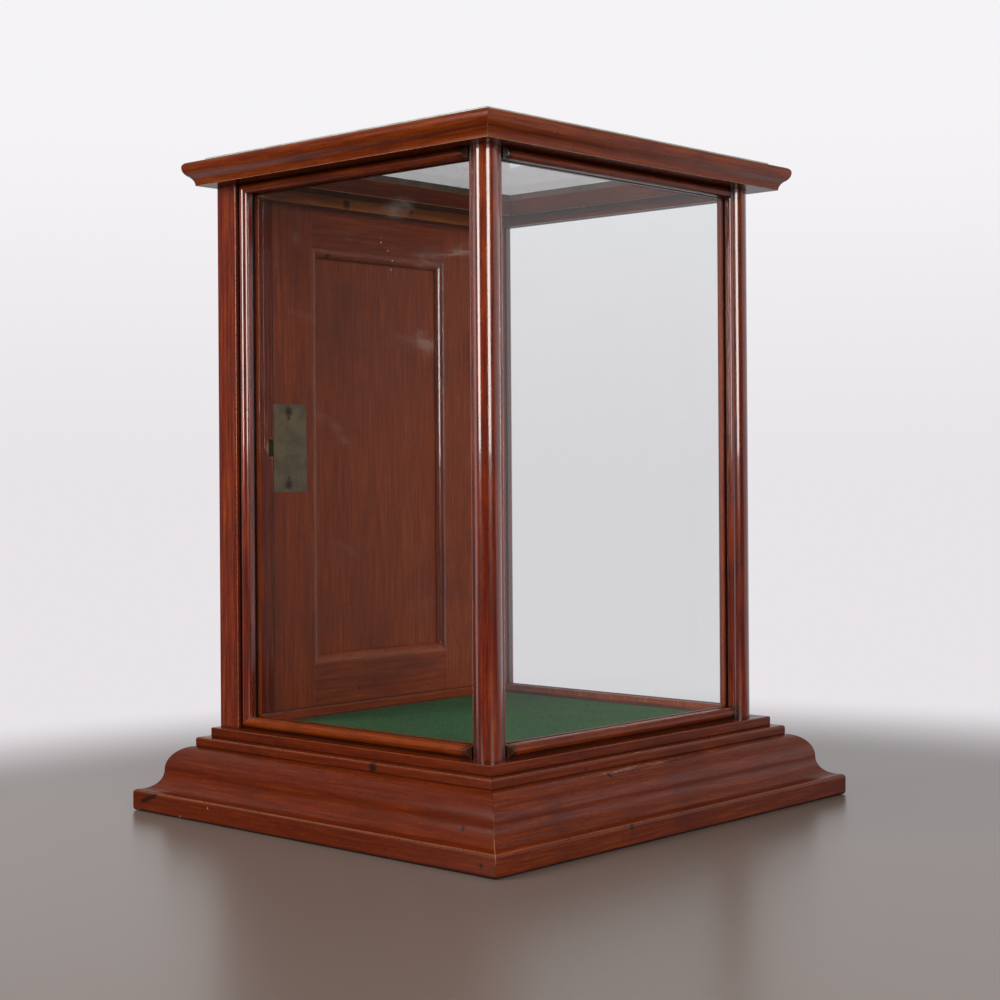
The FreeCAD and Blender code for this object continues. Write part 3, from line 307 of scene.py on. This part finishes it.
def makeMahogany(name, look, changes=None):
    look = {**look, **(changes or {})}
    material, add = newMaterial(name)
    grain = add("Attribute", attribute_name="grainPlace").outputs["Vector"]
    tone, arris, ring = [add("Attribute", attribute_name=layer).outputs["Fac"]
                         for layer in ("tone", "arris", "ring")]
    place = placeInMm(add)

    figure = noiseOf(add, grain, look["figure"], 3.0, 0.5, 0.3)
    lines = noiseOf(add, grain, look["lines"], 3.0, 0.6)
    pores = noiseOf(add, grain, look["pores"], 2.0, 0.6)
    patches = noiseOf(add, place, look["patches"], 3.0, 0.6)
    specks = noiseOf(add, place, look["specks"], 2.0, 0.7)

    # streaks within ribbons, from dark over middle to light, under the pores and the stains
    blend = add("Math", {0: figure, 1: look["figureShare"]}, operation="MULTIPLY")
    for pattern, share in ((lines, 1 - look["figureShare"]), (tone, look["toneShare"])):
        blend = add("Math", {0: pattern, 1: share, 2: blend}, operation="MULTIPLY_ADD")
    colour = linear(look["dark"])
    for shade in ("middle", "light"):
        mask = masked(add, blend, look[shade + "From"])
        colour = add("Mix", {0: mask, 6: colour, 7: linear(look[shade])}, data_type="RGBA")
    poreMask = masked(add, pores, look["poreFrom"])
    colour = tinted(add, colour, poreMask, look["poreShare"], look["pore"])
    colour = tinted(add, colour, masked(add, patches, look["stainFrom"]), look["stainShare"], look["stain"])

    # arrises paler, partly wear and partly painted highlight; corners darker, partly dirt and partly painted
    # shade where the ambient occlusion closes in
    reach = add("AmbientOcclusion", {"Distance": look["shadeAndDirtReach"]}, samples=6).outputs["AO"]
    shadeAndDirtMask = masked(add, reach, look["paintedShadeFrom"], look["paintedShadeShare"])
    paleEdge = masked(add, specks, look["paleEdgeFrom"], arris)
    paleEdge = masked(add, reach, look["paleEdgeOpen"], paleEdge)
    colour = tinted(add, colour, paleEdge, look["paleEdgeShare"], look["wearAndHighlight"])
    colour = add("Mix", {0: shadeAndDirtMask, 6: colour, 7: linear(look["shadeAndGrime"])}, data_type="RGBA")

    # the mitres of the rings show as hairlines, pale where they have opened and dark where dirt has settled
    across = sidesOf(add, place)
    offset = add("Math", {0: across["X"], 1: across["Y"]}, operation="SUBTRACT")
    offset = add("Math", {0: offset, 1: look["mitreMiddle"]}, operation="SUBTRACT")
    offset = add("Math", {0: offset}, operation="ABSOLUTE")
    hairline = masked(add, offset, (look["mitreWidth"] * 1.5, look["mitreWidth"] * 0.5), ring)
    hairline = add("Math", {0: hairline, 1: look["mitreShare"]}, operation="MULTIPLY")
    opened = add("Mix", {0: masked(add, patches, look["mitreOpen"]), 6: linear(look["wearAndHighlight"]),
                         7: linear(look["shadeAndGrime"])}, data_type="RGBA")
    colour = add("Mix", {0: hairline, 6: colour, 7: opened}, data_type="RGBA")

    # marks at their own places
    ragged = add("Math", {0: specks, 1: 0.5}, operation="SUBTRACT")
    if look["chips"]:
        chipped = spotted(add, place, look["chips"], ragged)
        colour = tinted(add, colour, chipped, look["chipShare"], look["wearAndHighlight"])
    # dark spots: dents and knots, and painted shade at the rails' ends
    darkMarks = spotted(add, place, look["darkSpots"], ragged, 0.6)
    if look["gouges"]:
        scratched = gouged(add, place, look["gouges"], ragged)
        darkMarks = add("Math", {0: darkMarks, 1: scratched}, operation="MAXIMUM")
    colour = tinted(add, colour, darkMarks, look["darkMarkShare"], look["shadeAndGrime"])
    if look["bareSpots"]:
        bare = spotted(add, place, look["bareSpots"], 0.0)
        colour = tinted(add, colour, bare, look["bareShare"], look["bare"])

    # the gloss: less where it is rubbed or dirty, on level faces, and inside the case
    smooth, dull = look["roughness"]
    rough = add("MapRange", {"Value": patches, "To Min": smooth, "To Max": dull})
    rough = add("Math", {0: paleEdge, 1: look["wornRough"], 2: rough}, operation="MULTIPLY_ADD")
    rough = add("Math", {0: shadeAndDirtMask, 1: look["grimeRough"], 2: rough}, operation="MULTIPLY_ADD",
                use_clamp=True)
    level = add("SeparateXYZ", {0: add("NewGeometry").outputs["Normal"]}).outputs["Z"]
    level = add("Math", {0: level}, operation="ABSOLUTE")
    ledge = masked(add, level, look["ledgeFrom"], look["ledgeDull"])
    middle, halves = look["inside"]
    room = sidesOf(add, add("VectorMath", {0: place, 1: middle}, operation="SUBTRACT"))
    within = [add("Math", {0: room[axis], 1: half}, operation="LESS_THAN")
              for axis, half in zip("XY", halves)]
    within = add("Math", {0: within[0], 1: within[1]}, operation="MULTIPLY")
    within = add("Math", {0: within, 1: look["insideDull"]}, operation="MULTIPLY")
    lost = add("Math", {0: ledge, 1: within}, operation="MAXIMUM")
    kept = add("Math", {0: 1.0, 1: lost}, operation="SUBTRACT")

    # the relief: a slight swell, open pores and sunk dents, less of them in the shellac
    swell = noiseOf(add, place, look["swell"], 2.0, 0.5)
    height = add("Math", {0: swell, 1: look["swellHigh"]}, operation="MULTIPLY")
    for mask, high in ((poreMask, look["poreHigh"]), (darkMarks, look["dentHigh"])):
        height = add("Math", {0: mask, 1: high, 2: height}, operation="MULTIPLY_ADD")
    coatHeight = add("Math", {0: poreMask, 1: look["coatPoreHigh"], 2: swell}, operation="MULTIPLY_ADD")
    add("OutputMaterial", {"Surface": add("BsdfPrincipled", {
        "Base Color": colour, "Roughness": rough, "IOR": look["index"],
        "Normal": add("Bump", {"Height": height, **look["bump"]}),
        "Specular IOR Level": add("Math", {0: kept, 1: look["shine"]}, operation="MULTIPLY"),
        "Coat Weight": add("Math", {0: kept, 1: look["coat"]}, operation="MULTIPLY"),
        "Coat Roughness": look["coatRoughness"],
        "Coat Normal": add("Bump", {"Height": coatHeight, **look["coatBump"]}),
    })})
    return material


# Drawn cylinder glass, a little grey and not quite flat. What it passes is nearly clear; it shines
# by the angle at which it is seen, and faint smears dull it here and there.
pane = {
    "tint": "#fbfcfc", "facing": 0.04, "glancing": 0.7,  # shares mirrored face on, and more at a glance
    "wave": (0.004, 0.004, 0.0015),  # per mm: ripples about 250 mm apart
    "bump": {"Strength": 0.3, "Distance": 0.0006},
    "ground": 0.3,  # mm taken off each edge
    "smear": (0.012, 0.012, 0.03), "smearFrom": (0.54, 0.72), "smearShare": 0.008, "smearRough": 0.2,
    "roughness": 0.015, "specks": 0.8, "fleckShare": 0.3, "fleckRough": 0.6,
    "flecks": [((-161.4, -36.4, 464.7), 0.3), ((-161.4, -28.6, 471.9), 0.25), ((-161.4, -42.1, 456.4), 0.35),
               ((-161.4, -40.0, 449.0), 0.25), ((44.1, -143.1, 104.0), 0.5)],
}


def makePane(name, look):
    material, add = newMaterial(name)
    place = placeInMm(add)
    facing = add("LayerWeight", {"Blend": 0.5}).outputs["Facing"]
    facing = add("Math", {0: facing, 1: 5.0}, operation="POWER")
    share = add("Math", {0: facing, 1: look["glancing"], 2: look["facing"]}, operation="MULTIPLY_ADD",
                use_clamp=True)
    smears = masked(add, noiseOf(add, place, look["smear"], 4.0, 0.6, 0.5), look["smearFrom"])
    specks = noiseOf(add, place, look["specks"], 1.0, 0.5)
    ragged = add("Math", {0: specks, 1: 0.5}, operation="SUBTRACT")
    flecks = spotted(add, place, look["flecks"], ragged)
    share = add("Math", {0: smears, 1: look["smearShare"], 2: share}, operation="MULTIPLY_ADD")
    share = add("Math", {0: flecks, 1: look["fleckShare"], 2: share}, operation="MULTIPLY_ADD",
                use_clamp=True)
    rough = add("Math", {0: smears, 1: look["smearRough"]}, operation="MULTIPLY")
    rough = add("Math", {0: flecks, 1: look["fleckRough"], 2: rough}, operation="MULTIPLY_ADD")
    rough = add("Math", {0: rough, 1: look["roughness"]}, operation="ADD", use_clamp=True)
    wave = noiseOf(add, place, look["wave"], 1.0, 0.4)
    shine = add("BsdfPrincipled", {"Base Color": (1, 1, 1, 1), "Metallic": 1.0, "Roughness": rough,
                                   "Normal": add("Bump", {"Height": wave, **look["bump"]})})
    clear = add("BsdfTransparent", {"Color": linear(look["tint"])})
    add("OutputMaterial", {"Surface": add("MixShader", {0: share, 1: clear, 2: shine})})
    return material


def makePlain(name, look):
    look = {**plainPattern, **look}
    material, add = newMaterial(name)
    place = placeInMm(add)
    broad = noiseOf(add, place, look["broad"], 4.0, 0.6)
    fine = noiseOf(add, place, look["fine"], 3.0, 0.6)
    colour = add("Mix", {0: masked(add, broad, look["lightFrom"]), 6: linear(look["dark"]),
                         7: linear(look["light"])}, data_type="RGBA")
    colour = tinted(add, colour, masked(add, fine, look["spotFrom"]), look["speckle"], look["spot"])
    if "stains" in look:
        ragged = add("Math", {0: fine, 1: 0.5}, operation="SUBTRACT")
        stained = spotted(add, place, look["stains"], ragged, 0.5)
        colour = tinted(add, colour, stained, look["stainShare"], look["spot"])
    low, high = look["roughFrom"]
    smooth, dull = look["roughness"]
    rough = add("MapRange", {"Value": broad, "From Min": low, "From Max": high,
                             "To Min": smooth, "To Max": dull})
    add("OutputMaterial", {"Surface": add("BsdfPrincipled", {
        "Base Color": colour, "Roughness": rough, "Metallic": look["metallic"],
        "Normal": add("Bump", {"Height": fine, "Strength": look["bump"], "Distance": look["depth"]}),
    })})
    return material


# What the plain materials share: where their broad and fine patterns turn light, spotted and rough.
plainPattern = {
    "lightFrom": (0.35, 0.65), "spotFrom": (0.5, 0.75), "roughFrom": (0.3, 0.7),
    "depth": 0.0002, "metallic": 0.0,
}
plainLooks = {
    # cast and filed brass, dulled by a century of air to an olive grey
    "agedBrass": {
        "dark": "#5b4f40", "light": "#766850", "spot": "#2f2820", "speckle": 0.3, "broad": 0.05, "fine": 0.5,
        "roughness": (0.4, 0.6), "bump": 0.12, "metallic": 0.8,
        # black stains round the lock's two screws: place and radius (mm)
        "stains": [((-112.7, 140.0, 342.0), 3.6), ((-112.7, 140.0, 336.5), 1.8),
                   ((-112.7, 140.0, 278.0), 3.6), ((-112.7, 140.0, 283.5), 1.5)],
        "stainShare": 0.75,
    },
    # iron screws and pins, browned
    "brownedSteel": {
        "dark": "#2a2420", "light": "#4a413a", "spot": "#17120f", "speckle": 0.6, "broad": 0.3, "fine": 1.2,
        "roughness": (0.4, 0.65), "bump": 0.2, "metallic": 0.85,
    },
    # linseed putty, hard and grey brown
    "oldPutty": {
        "dark": "#41322a", "light": "#5f4b3e", "spot": "#2c2420", "speckle": 0.35,
        "broad": 0.06, "fine": 0.35, "roughness": (0.6, 0.85), "bump": 0.6,
    },
    # planed pine, unpolished and dusty
    "rawPine": {
        "dark": "#8a6238", "light": "#b18a58", "spot": "#5d3d20", "speckle": 0.5,
        "broad": (0.01, 0.12, 0.12), "fine": (0.05, 0.9, 0.9), "roughness": (0.65, 0.85), "bump": 0.3,
    },
    # cut glass edge: scatters a grey green
    "glassEdge": {
        "dark": "#8b9690", "light": "#a2aba6", "spot": "#b4bcb8", "speckle": 0.2, "broad": 0.05, "fine": 0.4,
        "roughness": (0.2, 0.35), "bump": 0.1,
    },
}


def solidOf(name):
    # a CAD solid as a mesh to work on, with each of its flats in one face again
    grid = bmesh.new()
    grid.from_mesh(nodes[name].data)
    bmesh.ops.remove_doubles(grid, verts=grid.verts, dist=meshing["weld"] * mm)
    bmesh.ops.dissolve_limit(grid, angle_limit=math.radians(meshing["flat"]), verts=grid.verts,
                             edges=grid.edges, use_dissolve_boundaries=False)
    return grid


def rounded(grid, edges, width, segments):
    return bmesh.ops.bevel(grid, geom=edges, offset=width * mm, offset_type="OFFSET", segments=segments,
                           profile=0.5, affect="EDGES", clamp_overlap=True)["faces"]


def meshOf(grid, name):
    mesh = bpy.data.meshes.new(name)
    grid.to_mesh(mesh)
    grid.free()
    return mesh


def placeObject(name, data):
    made = bpy.data.objects.new(name, data)
    bpy.context.scene.collection.objects.link(made)
    return made


def mitred(face):
    # whether a face is the cut end of a mitre
    sizes = sorted(abs(part) for part in face.normal)
    slanted = sizes[0] < 0.01 and abs(sizes[1] - sizes[2]) < 0.01
    return slanted and face.calc_area() > (meshing["mitreFace"] * mm) ** 2


def dress(name, axis, rub, tone, material):
    # a CAD piece of wood with rubbed edges and its own run of grain, in place of the plain solid
    grid = solidOf(name)
    arris = grid.faces.layers.float.new("arris")
    # painted highlight, partly wear: the upward-tilted faces of the noses turn pale like arrises
    if name.startswith(baseRings):
        for face in grid.faces:
            nose = not name.startswith("base") or face.calc_center_median().z < noseWearAndHighlight["plinthTop"] * mm
            if nose and noseWearAndHighlight["tilt"][0] < face.normal.z < noseWearAndHighlight["tilt"][1]:
                face[arris] = noseWearAndHighlight["wearAndHighlight"]
    sharp = [edge for edge in grid.edges if len(edge.link_faces) == 2 and edge.is_convex
             and edge.calc_face_angle() > math.radians(meshing["arris"])
             and not any(mitred(face) for face in edge.link_faces)]
    for face in rounded(grid, sharp, rub, 2):
        face[arris] = 1.0
    for edge in grid.edges:
        edge.smooth = len(edge.link_faces) == 2 and edge.calc_face_angle() < math.radians(meshing["crease"])
    for face in grid.faces:
        face.smooth = True
    bmesh.ops.triangulate(grid, faces=grid.faces)
    mesh = meshOf(grid, name)

    order = {"x": (0, 1, 2), "y": (1, 0, 2), "z": (2, 0, 1)}[axis]
    shift = random.Random(name)
    start = [shift.uniform(0, meshing["grainShift"]) for _ in range(3)]
    grain = [vertex.co[order[i]] / mm + start[i] for vertex in mesh.vertices for i in range(3)]
    mesh.attributes.new("grainPlace", "FLOAT_VECTOR", "POINT").data.foreach_set("vector", grain)
    ring = name.startswith(mitredRings) and name != "cornice_back_board"
    for layer, value in (("tone", tone), ("ring", float(ring))):
        mesh.attributes.new(layer, "FLOAT", "POINT").data.foreach_set("value", [value] * len(mesh.vertices))
    return standIn(name, mesh, [material])


def standIn(name, mesh, materials):
    # a piece in place of a node, on the same body
    for material in materials:
        mesh.materials.append(material)
    piece = placeObject(name + "_finished", mesh)
    weighted = piece.modifiers.new("weightedNormals", "WEIGHTED_NORMAL")
    weighted.keep_sharp = True
    weighted.mode = "FACE_AREA"
    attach(piece, nodes[name]["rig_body"])
    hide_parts(name)
    return piece


slotOf = {part["node"]: part["material_slot"] for part in frame["record"]["subparts"]}
caseWood = makeMahogany("frenchPolishedMahogany", polished)
satinWood = makeMahogany("satinPolishedMahogany", polished, {  # base, rails, cornice: darker, handled dull
    "dark": "#4b1602", "middle": "#5a1d02", "light": "#753105", "stain": "#380e02",
    "roughness": (0.2, 0.3), "shine": 0.2, "coat": 0.18, "coatRoughness": 0.12, "bareSpots": [],
    # wider and paler arrises: partly wear, partly painted highlight
    "paleEdgeShare": 0.9, "paleEdgeFrom": (0.28, 0.5),
})
waxed = {  # the door: less red than the case, and its pores never fully filled
    **polished,
    "dark": "#68260a", "middle": "#80320d", "light": "#97481b", "pore": "#3c170a", "stain": "#50200d",
    "poreShare": 0.5, "roughness": (0.28, 0.4), "shine": 0.25, "coat": 0.0,
    "darkSpots": [((-30.0, 140.0, 92.0), 1.2), ((-64.3, 143.0, 483.7), 2.6)],
    "chips": [], "bareSpots": [], "gouges": [],
}
doorWood = makeMahogany("waxedMahogany", waxed)
beadWood = makeMahogany("rubbedMahogany", waxed, {  # its mouldings: rubbed to a low shine
    "roughness": (0.2, 0.3), "coat": 0.25, "coatRoughness": 0.14,
})
bareWood = makeMahogany("unstainedMahogany", polished, {  # hidden pieces: knotty, paler, hardly polished
    "dark": "#7c3c12", "middle": "#96511e", "light": "#ad6b36", "pore": "#4a220c", "stain": "#6b3514",
    "roughness": (0.35, 0.5), "shine": 0.25, "coat": 0.0,
    "darkSpots": [((-51.8, 129.3, 529.1), 3.4), ((30.0, 129.3, 530.0), 1.8)],
    "chips": [], "bareSpots": [], "gouges": [],
})


def finishOf(name):
    if name == "door_header":
        return bareWood
    if name.startswith((*baseRings, "bottom_rail", "top_rail", "cornice")):
        return satinWood
    if name.startswith("door_moulding"):
        return caseWood if name.endswith("right") else beadWood
    waxedOnly = name.startswith(("glazing_beads", "door_threshold")) or slotOf[name].startswith("door")
    return doorWood if waxedOnly else caseWood


plain = {name: makePlain(name, look) for name, look in plainLooks.items()}
paneGlass = makePane("drawnGlass", pane)
for name, (axis, rub, tone) in wood.items():
    dress(name, axis, rub, tone, finishOf(name))
print("wood dressed:", len(wood), "pieces")

for slotName, materialName in (("brass", "agedBrass"), ("steel", "brownedSteel"), ("putty", "oldPutty"),
                               ("pine", "rawPine")):
    for name, slotted in slotOf.items():
        if slotted == slotName:
            for holder in nodes[name].material_slots:
                holder.material = plain[materialName]


def dressPane(name):
    # a pane with ground edges: its two faces are clear and its narrow sides are not
    grid = solidOf(name)
    low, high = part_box(name)
    thin = min(range(3), key=lambda i: high[i] - low[i])
    rounded(grid, list(grid.edges), pane["ground"], 1)
    for face in grid.faces:
        face.material_index = 0 if abs(face.normal[thin]) > 0.9 else 1
        face.smooth = False
    return standIn(name, meshOf(grid, name), [paneGlass, plain["glassEdge"]])


for name in ("front_glass", "left_glass", "right_glass", "top_glass"):
    dressPane(name)
print("glass dressed")

# Billiard-cloth baize, laid flat on the floor board: napped wool, so its surface is soft and mottled.
baize = {
    "dark": "#0c3415", "light": "#285c30", "pale": "#43764a", "sheen": "#7fae88", "sheenShare": 0.06,
    "nap": 0.35, "fibres": (0.9, 0.6, 0.9), "wear": 0.012,  # per mm
    "napFrom": (0.38, 0.62), "fibreFrom": (0.5, 0.68), "wearFrom": (0.5, 0.7),
    "fibreShare": 0.5, "wearShare": 0.18,  # how pale single fibres and worn patches are
    "roughness": 0.95, "shine": 0.2, "sheenRoughness": 0.4, "bump": {"Strength": 0.7, "Distance": 0.0004},
    "step": 2.5, "gap": 0.4, "round": 0.8,  # mm: mesh, room round the posts, soft edge
    "lift": 0.25, "fuzz": 0.05,  # mm by which the face goes up and down, slowly and from point to point
    "swells": ((37, 1.3), (29, 0.4)),  # the slow part: radians per m and a shift, along X and Y
}


def makeBaizeMaterial(look):
    material, add = newMaterial("woolBaize")
    place = placeInMm(add)
    nap = noiseOf(add, place, look["nap"], 3.0, 0.7)
    fibres = noiseOf(add, place, look["fibres"], 3.0, 0.7, 0.8)
    wearAndHighlight = noiseOf(add, place, look["wear"], 4.0, 0.6)
    colour = add("Mix", {0: masked(add, nap, look["napFrom"]), 6: linear(look["dark"]),
                         7: linear(look["light"])}, data_type="RGBA")
    for pattern, kind in ((fibres, "fibre"), (wearAndHighlight, "wear")):
        mask = masked(add, pattern, look[kind + "From"])
        colour = tinted(add, colour, mask, look[kind + "Share"], look["pale"])
    add("OutputMaterial", {"Surface": add("BsdfPrincipled", {
        "Base Color": colour, "Roughness": look["roughness"], "Specular IOR Level": look["shine"],
        "Normal": add("Bump", {"Height": fibres, **look["bump"]}), "Sheen Weight": look["sheenShare"],
        "Sheen Roughness": look["sheenRoughness"], "Sheen Tint": linear(look["sheen"]),
    })})
    return material


def makeBaize(look):
    low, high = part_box("baize_lining")
    postLow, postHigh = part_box("front_post_right")
    notchX = postLow[0] - look["gap"] * mm
    notchY = postHigh[1] + look["gap"] * mm
    across = max(2, round((high.x - low.x) / (look["step"] * mm)))
    along = max(2, round((high.y - low.y) / (look["step"] * mm)))
    grid = bmesh.new()
    xs = [low.x + (high.x - low.x) * i / across for i in range(across + 1)]
    ys = [low.y + (high.y - low.y) * j / along for j in range(along + 1)]
    for line, edge in ((xs, notchX), (xs, -notchX), (ys, notchY)):  # the nearest lines move to the notches
        line[min(range(len(line)), key=lambda i: abs(line[i] - edge))] = edge
    points = {}
    for i in range(across):
        for j in range(along):
            middle = (xs[i] + xs[i + 1]) / 2, (ys[j] + ys[j + 1]) / 2
            if abs(middle[0]) > notchX and middle[1] < notchY:
                continue
            corners = []
            for key in ((i, j), (i + 1, j), (i + 1, j + 1), (i, j + 1)):
                if key not in points:
                    points[key] = grid.verts.new((xs[key[0]], ys[key[1]], high.z))
                corners.append(points[key])
            grid.faces.new(corners)
    outline = [edge for edge in grid.edges if edge.is_boundary]
    drop = bmesh.ops.extrude_edge_only(grid, edges=outline)
    for part in drop["geom"]:
        if isinstance(part, bmesh.types.BMVert):
            part.co.z = low.z
    bmesh.ops.holes_fill(grid, edges=[edge for edge in grid.edges if edge.is_boundary], sides=0)
    above = low.z + 1 * mm
    rim = [edge for edge in grid.edges if edge.is_convex and len(edge.link_faces) == 2
           and edge.calc_face_angle() > math.radians(60) and all(v.co.z > above for v in edge.verts)]
    rounded(grid, rim, look["round"], 3)
    fuzz = random.Random(7)
    (perX, startX), (perY, startY) = look["swells"]
    for vertex in grid.verts:
        if vertex.co.z > above:
            swell = math.sin(vertex.co.x * perX + startX) * math.sin(vertex.co.y * perY + startY)
            vertex.co.z -= (0.5 + 0.5 * swell) * look["lift"] * mm + fuzz.uniform(0, look["fuzz"]) * mm
    bmesh.ops.recalc_face_normals(grid, faces=grid.faces)
    for face in grid.faces:
        face.smooth = True
    mesh = meshOf(grid, "baizeCloth")
    mesh.materials.append(makeBaizeMaterial(look))
    cloth = placeObject("baizeCloth", mesh)
    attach(cloth, "case")
    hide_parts("baize_lining")
    return cloth


makeBaize(baize)
print("baize laid")


# The glazing strips are pinned from inside with small iron pins whose heads stand a little proud.
pins = {"spacing": 72.0, "radius": 0.55, "fromEnd": 22.0, "strip": 2.2}  # mm; strip is half a strip's width


def makePinTree():
    tree = bpy.data.node_groups.new("pinRuns", "GeometryNodeTree")
    for name, kind, way in (("Geometry", "Geometry", "INPUT"), ("Spacing", "Float", "INPUT"),
                            ("Radius", "Float", "INPUT"), ("Material", "Material", "INPUT"),
                            ("Geometry", "Geometry", "OUTPUT")):
        tree.interface.new_socket(name, in_out=way, socket_type="NodeSocket" + kind)
    add = partial(addNode, tree)
    given = add("NodeGroupInput").outputs
    curve = add("GeometryNodeMeshToCurve", {"Mesh": given["Geometry"]})
    points = add("GeometryNodeResampleCurve", {"Curve": curve, "Length": given["Spacing"]}, mode="LENGTH")
    head = add("GeometryNodeMeshIcoSphere", {"Radius": given["Radius"], "Subdivisions": 2})
    heads = add("GeometryNodeInstanceOnPoints", {"Points": points, "Instance": head})
    solid = add("GeometryNodeRealizeInstances", {"Geometry": heads})
    done = add("GeometryNodeSetMaterial", {"Geometry": solid, "Material": given["Material"]})
    add("NodeGroupOutput", {"Geometry": done})
    return tree


def makePins(look):
    runs = []
    for side in ("front", "left", "right"):
        low, high = (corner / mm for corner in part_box("glazing_beads_" + side))
        thin, along = (1, 0) if side == "front" else (0, 1)
        inner = low[thin] if side == "right" else high[thin]
        starts = (low[along] + look["strip"], high[along] - look["strip"])
        feet, heads = low.z + look["fromEnd"], high.z - look["fromEnd"]
        ends = [((start, feet), (start, heads)) for start in starts]
        level = low.z + look["strip"]
        ends.append(((low[along] + look["fromEnd"], level), (high[along] - look["fromEnd"], level)))
        for pair in ends:
            run = []
            for where, z in pair:
                spot = [0, 0, z * mm]
                spot[thin], spot[along] = inner * mm, where * mm
                run.append(spot)
            runs.append(run)
    mesh = bpy.data.meshes.new("pinRuns")
    lines = [(2 * i, 2 * i + 1) for i in range(len(runs))]
    mesh.from_pydata([spot for run in runs for spot in run], lines, [])
    guide = placeObject("pinRuns", mesh)
    tree = makePinTree()
    modifier = guide.modifiers.new("pins", "NODES")
    modifier.node_group = tree
    settings = {"Spacing": look["spacing"] * mm, "Radius": look["radius"] * mm,
                "Material": plain["brownedSteel"]}
    for item in tree.interface.items_tree:
        if item.in_out == "INPUT" and item.name in settings:
            modifier[item.identifier] = settings[item.name]
    bpy.context.view_layer.update()
    evaluated = guide.evaluated_get(bpy.context.evaluated_depsgraph_get())
    heads = bpy.data.meshes.new_from_object(evaluated)
    guide.modifiers.remove(modifier)
    bpy.data.objects.remove(guide)
    piece = placeObject("glazingPins", heads)
    for face in heads.polygons:
        face.use_smooth = True
    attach(piece, "case")
    return piece


makePins(pins)
print("glazing pinned")


# Floor, surroundings, lamps and camera.
def sideOf(add, direction, middle):
    # how far a direction points to one side of the room
    turn = math.radians(studio[middle])
    side = (math.cos(turn), math.sin(turn), 0.0)
    return add("VectorMath", {0: direction, 1: side}, operation="DOT_PRODUCT")


def makeFloor():
    size = studio["floorSize"]
    mesh = bpy.data.meshes.new("floor")
    corners = [(-size, -size, 0), (size, -size, 0), (size, size, 0), (-size, size, 0)]
    mesh.from_pydata(corners, [], [(0, 1, 2, 3)])
    material, add = newMaterial("satinFloor")
    seen = seenRay(add)
    colour = add("Mix", {0: seen, 6: linear(studio["floorBounce"]), 7: linear(studio["floor"])},
                 data_type="RGBA")
    near = add("BsdfPrincipled", {"Base Color": colour, "Roughness": studio["floorRoughness"]})
    # further off it turns into the room, which only gives colour to what is seen
    place = add("TexCoord").outputs["Object"]
    side = sideOf(add, add("VectorMath", {0: place}, operation="NORMALIZE"), "wallMiddle")
    surround = add("Mix", {0: masked(add, side, studio["wallEdge"]), 6: linear(studio["room"]),
                           7: linear(studio["wallLow"])}, data_type="RGBA")
    far = add("Emission", {"Color": surround, "Strength": seen})
    away = add("VectorMath", {0: place}, operation="LENGTH")
    for name, share in zip(("wallMiddle", "darkMiddle"), studio["floorNearer"]):
        reach = add("Math", {0: sideOf(add, place, name), 1: 0.0}, operation="MAXIMUM")
        away = add("Math", {0: reach, 1: share, 2: away}, operation="MULTIPLY_ADD")
    fade = masked(add, away, studio["floorFade"])
    add("OutputMaterial", {"Surface": add("MixShader", {0: fade, 1: near, 2: far})})
    mesh.materials.append(material)
    placeObject("floor", mesh)


def makeSurroundings():
    world = bpy.data.worlds.new("studio")
    world.use_nodes = True
    world.node_tree.nodes.clear()
    add = partial(addNode, world.node_tree)
    direction = add("TexCoord").outputs["Generated"]
    rise = add("SeparateXYZ", {0: direction}).outputs["Z"]
    wall = linear(studio["wallLow"])
    for span, tone in (("wallRise", "wall"), ("ceilingRise", "ceiling")):
        mask = masked(add, rise, studio[span])
        wall = add("Mix", {0: mask, 6: wall, 7: linear(studio[tone])}, data_type="RGBA")
    edge = masked(add, sideOf(add, direction, "wallMiddle"), studio["wallEdge"])
    colour = add("Mix", {0: edge, 6: linear(studio["room"]), 7: wall}, data_type="RGBA")
    picture = add("Background", {"Color": colour, "Strength": 1.0})
    light = add("Background", {"Color": linear(studio["light"]), "Strength": studio["lightStrength"]})
    add("OutputWorld", {"Surface": add("MixShader", {0: seenRay(add), 1: light, 2: picture})})
    bpy.context.scene.world = world


def makeLamps():
    for name, look in lamps.items():
        data = bpy.data.lights.new(name, "AREA")
        data.shape = "RECTANGLE"
        data.size, data.size_y = look["size"]
        data.energy = look["watts"]
        data.color = linear(look["colour"])[:3]
        lamp = placeObject(name, data)
        lamp.location = look["place"]
        lamp.rotation_mode = "QUATERNION"
        lamp.rotation_quaternion = (Vector(lampAim) - lamp.location).to_track_quat("-Z", "Y")


def makeCamera():
    data = bpy.data.cameras.new("camera")
    data.lens, data.sensor_width = view["lens"], view["sensor"]
    data.shift_y = view["shiftUp"]
    camera = placeObject("camera", data)
    right, forward = Vector(view["right"]), Vector(view["forward"])
    turn = Matrix((right, right.cross(forward), -forward)).transposed()
    camera.rotation_mode = "QUATERNION"
    camera.location = view["place"]
    camera.rotation_quaternion = turn.to_quaternion()
    bpy.context.scene.camera = camera


makeFloor()
makeSurroundings()
makeLamps()
makeCamera()
bpy.context.scene.view_settings.view_transform = "Standard"
print("studio set")
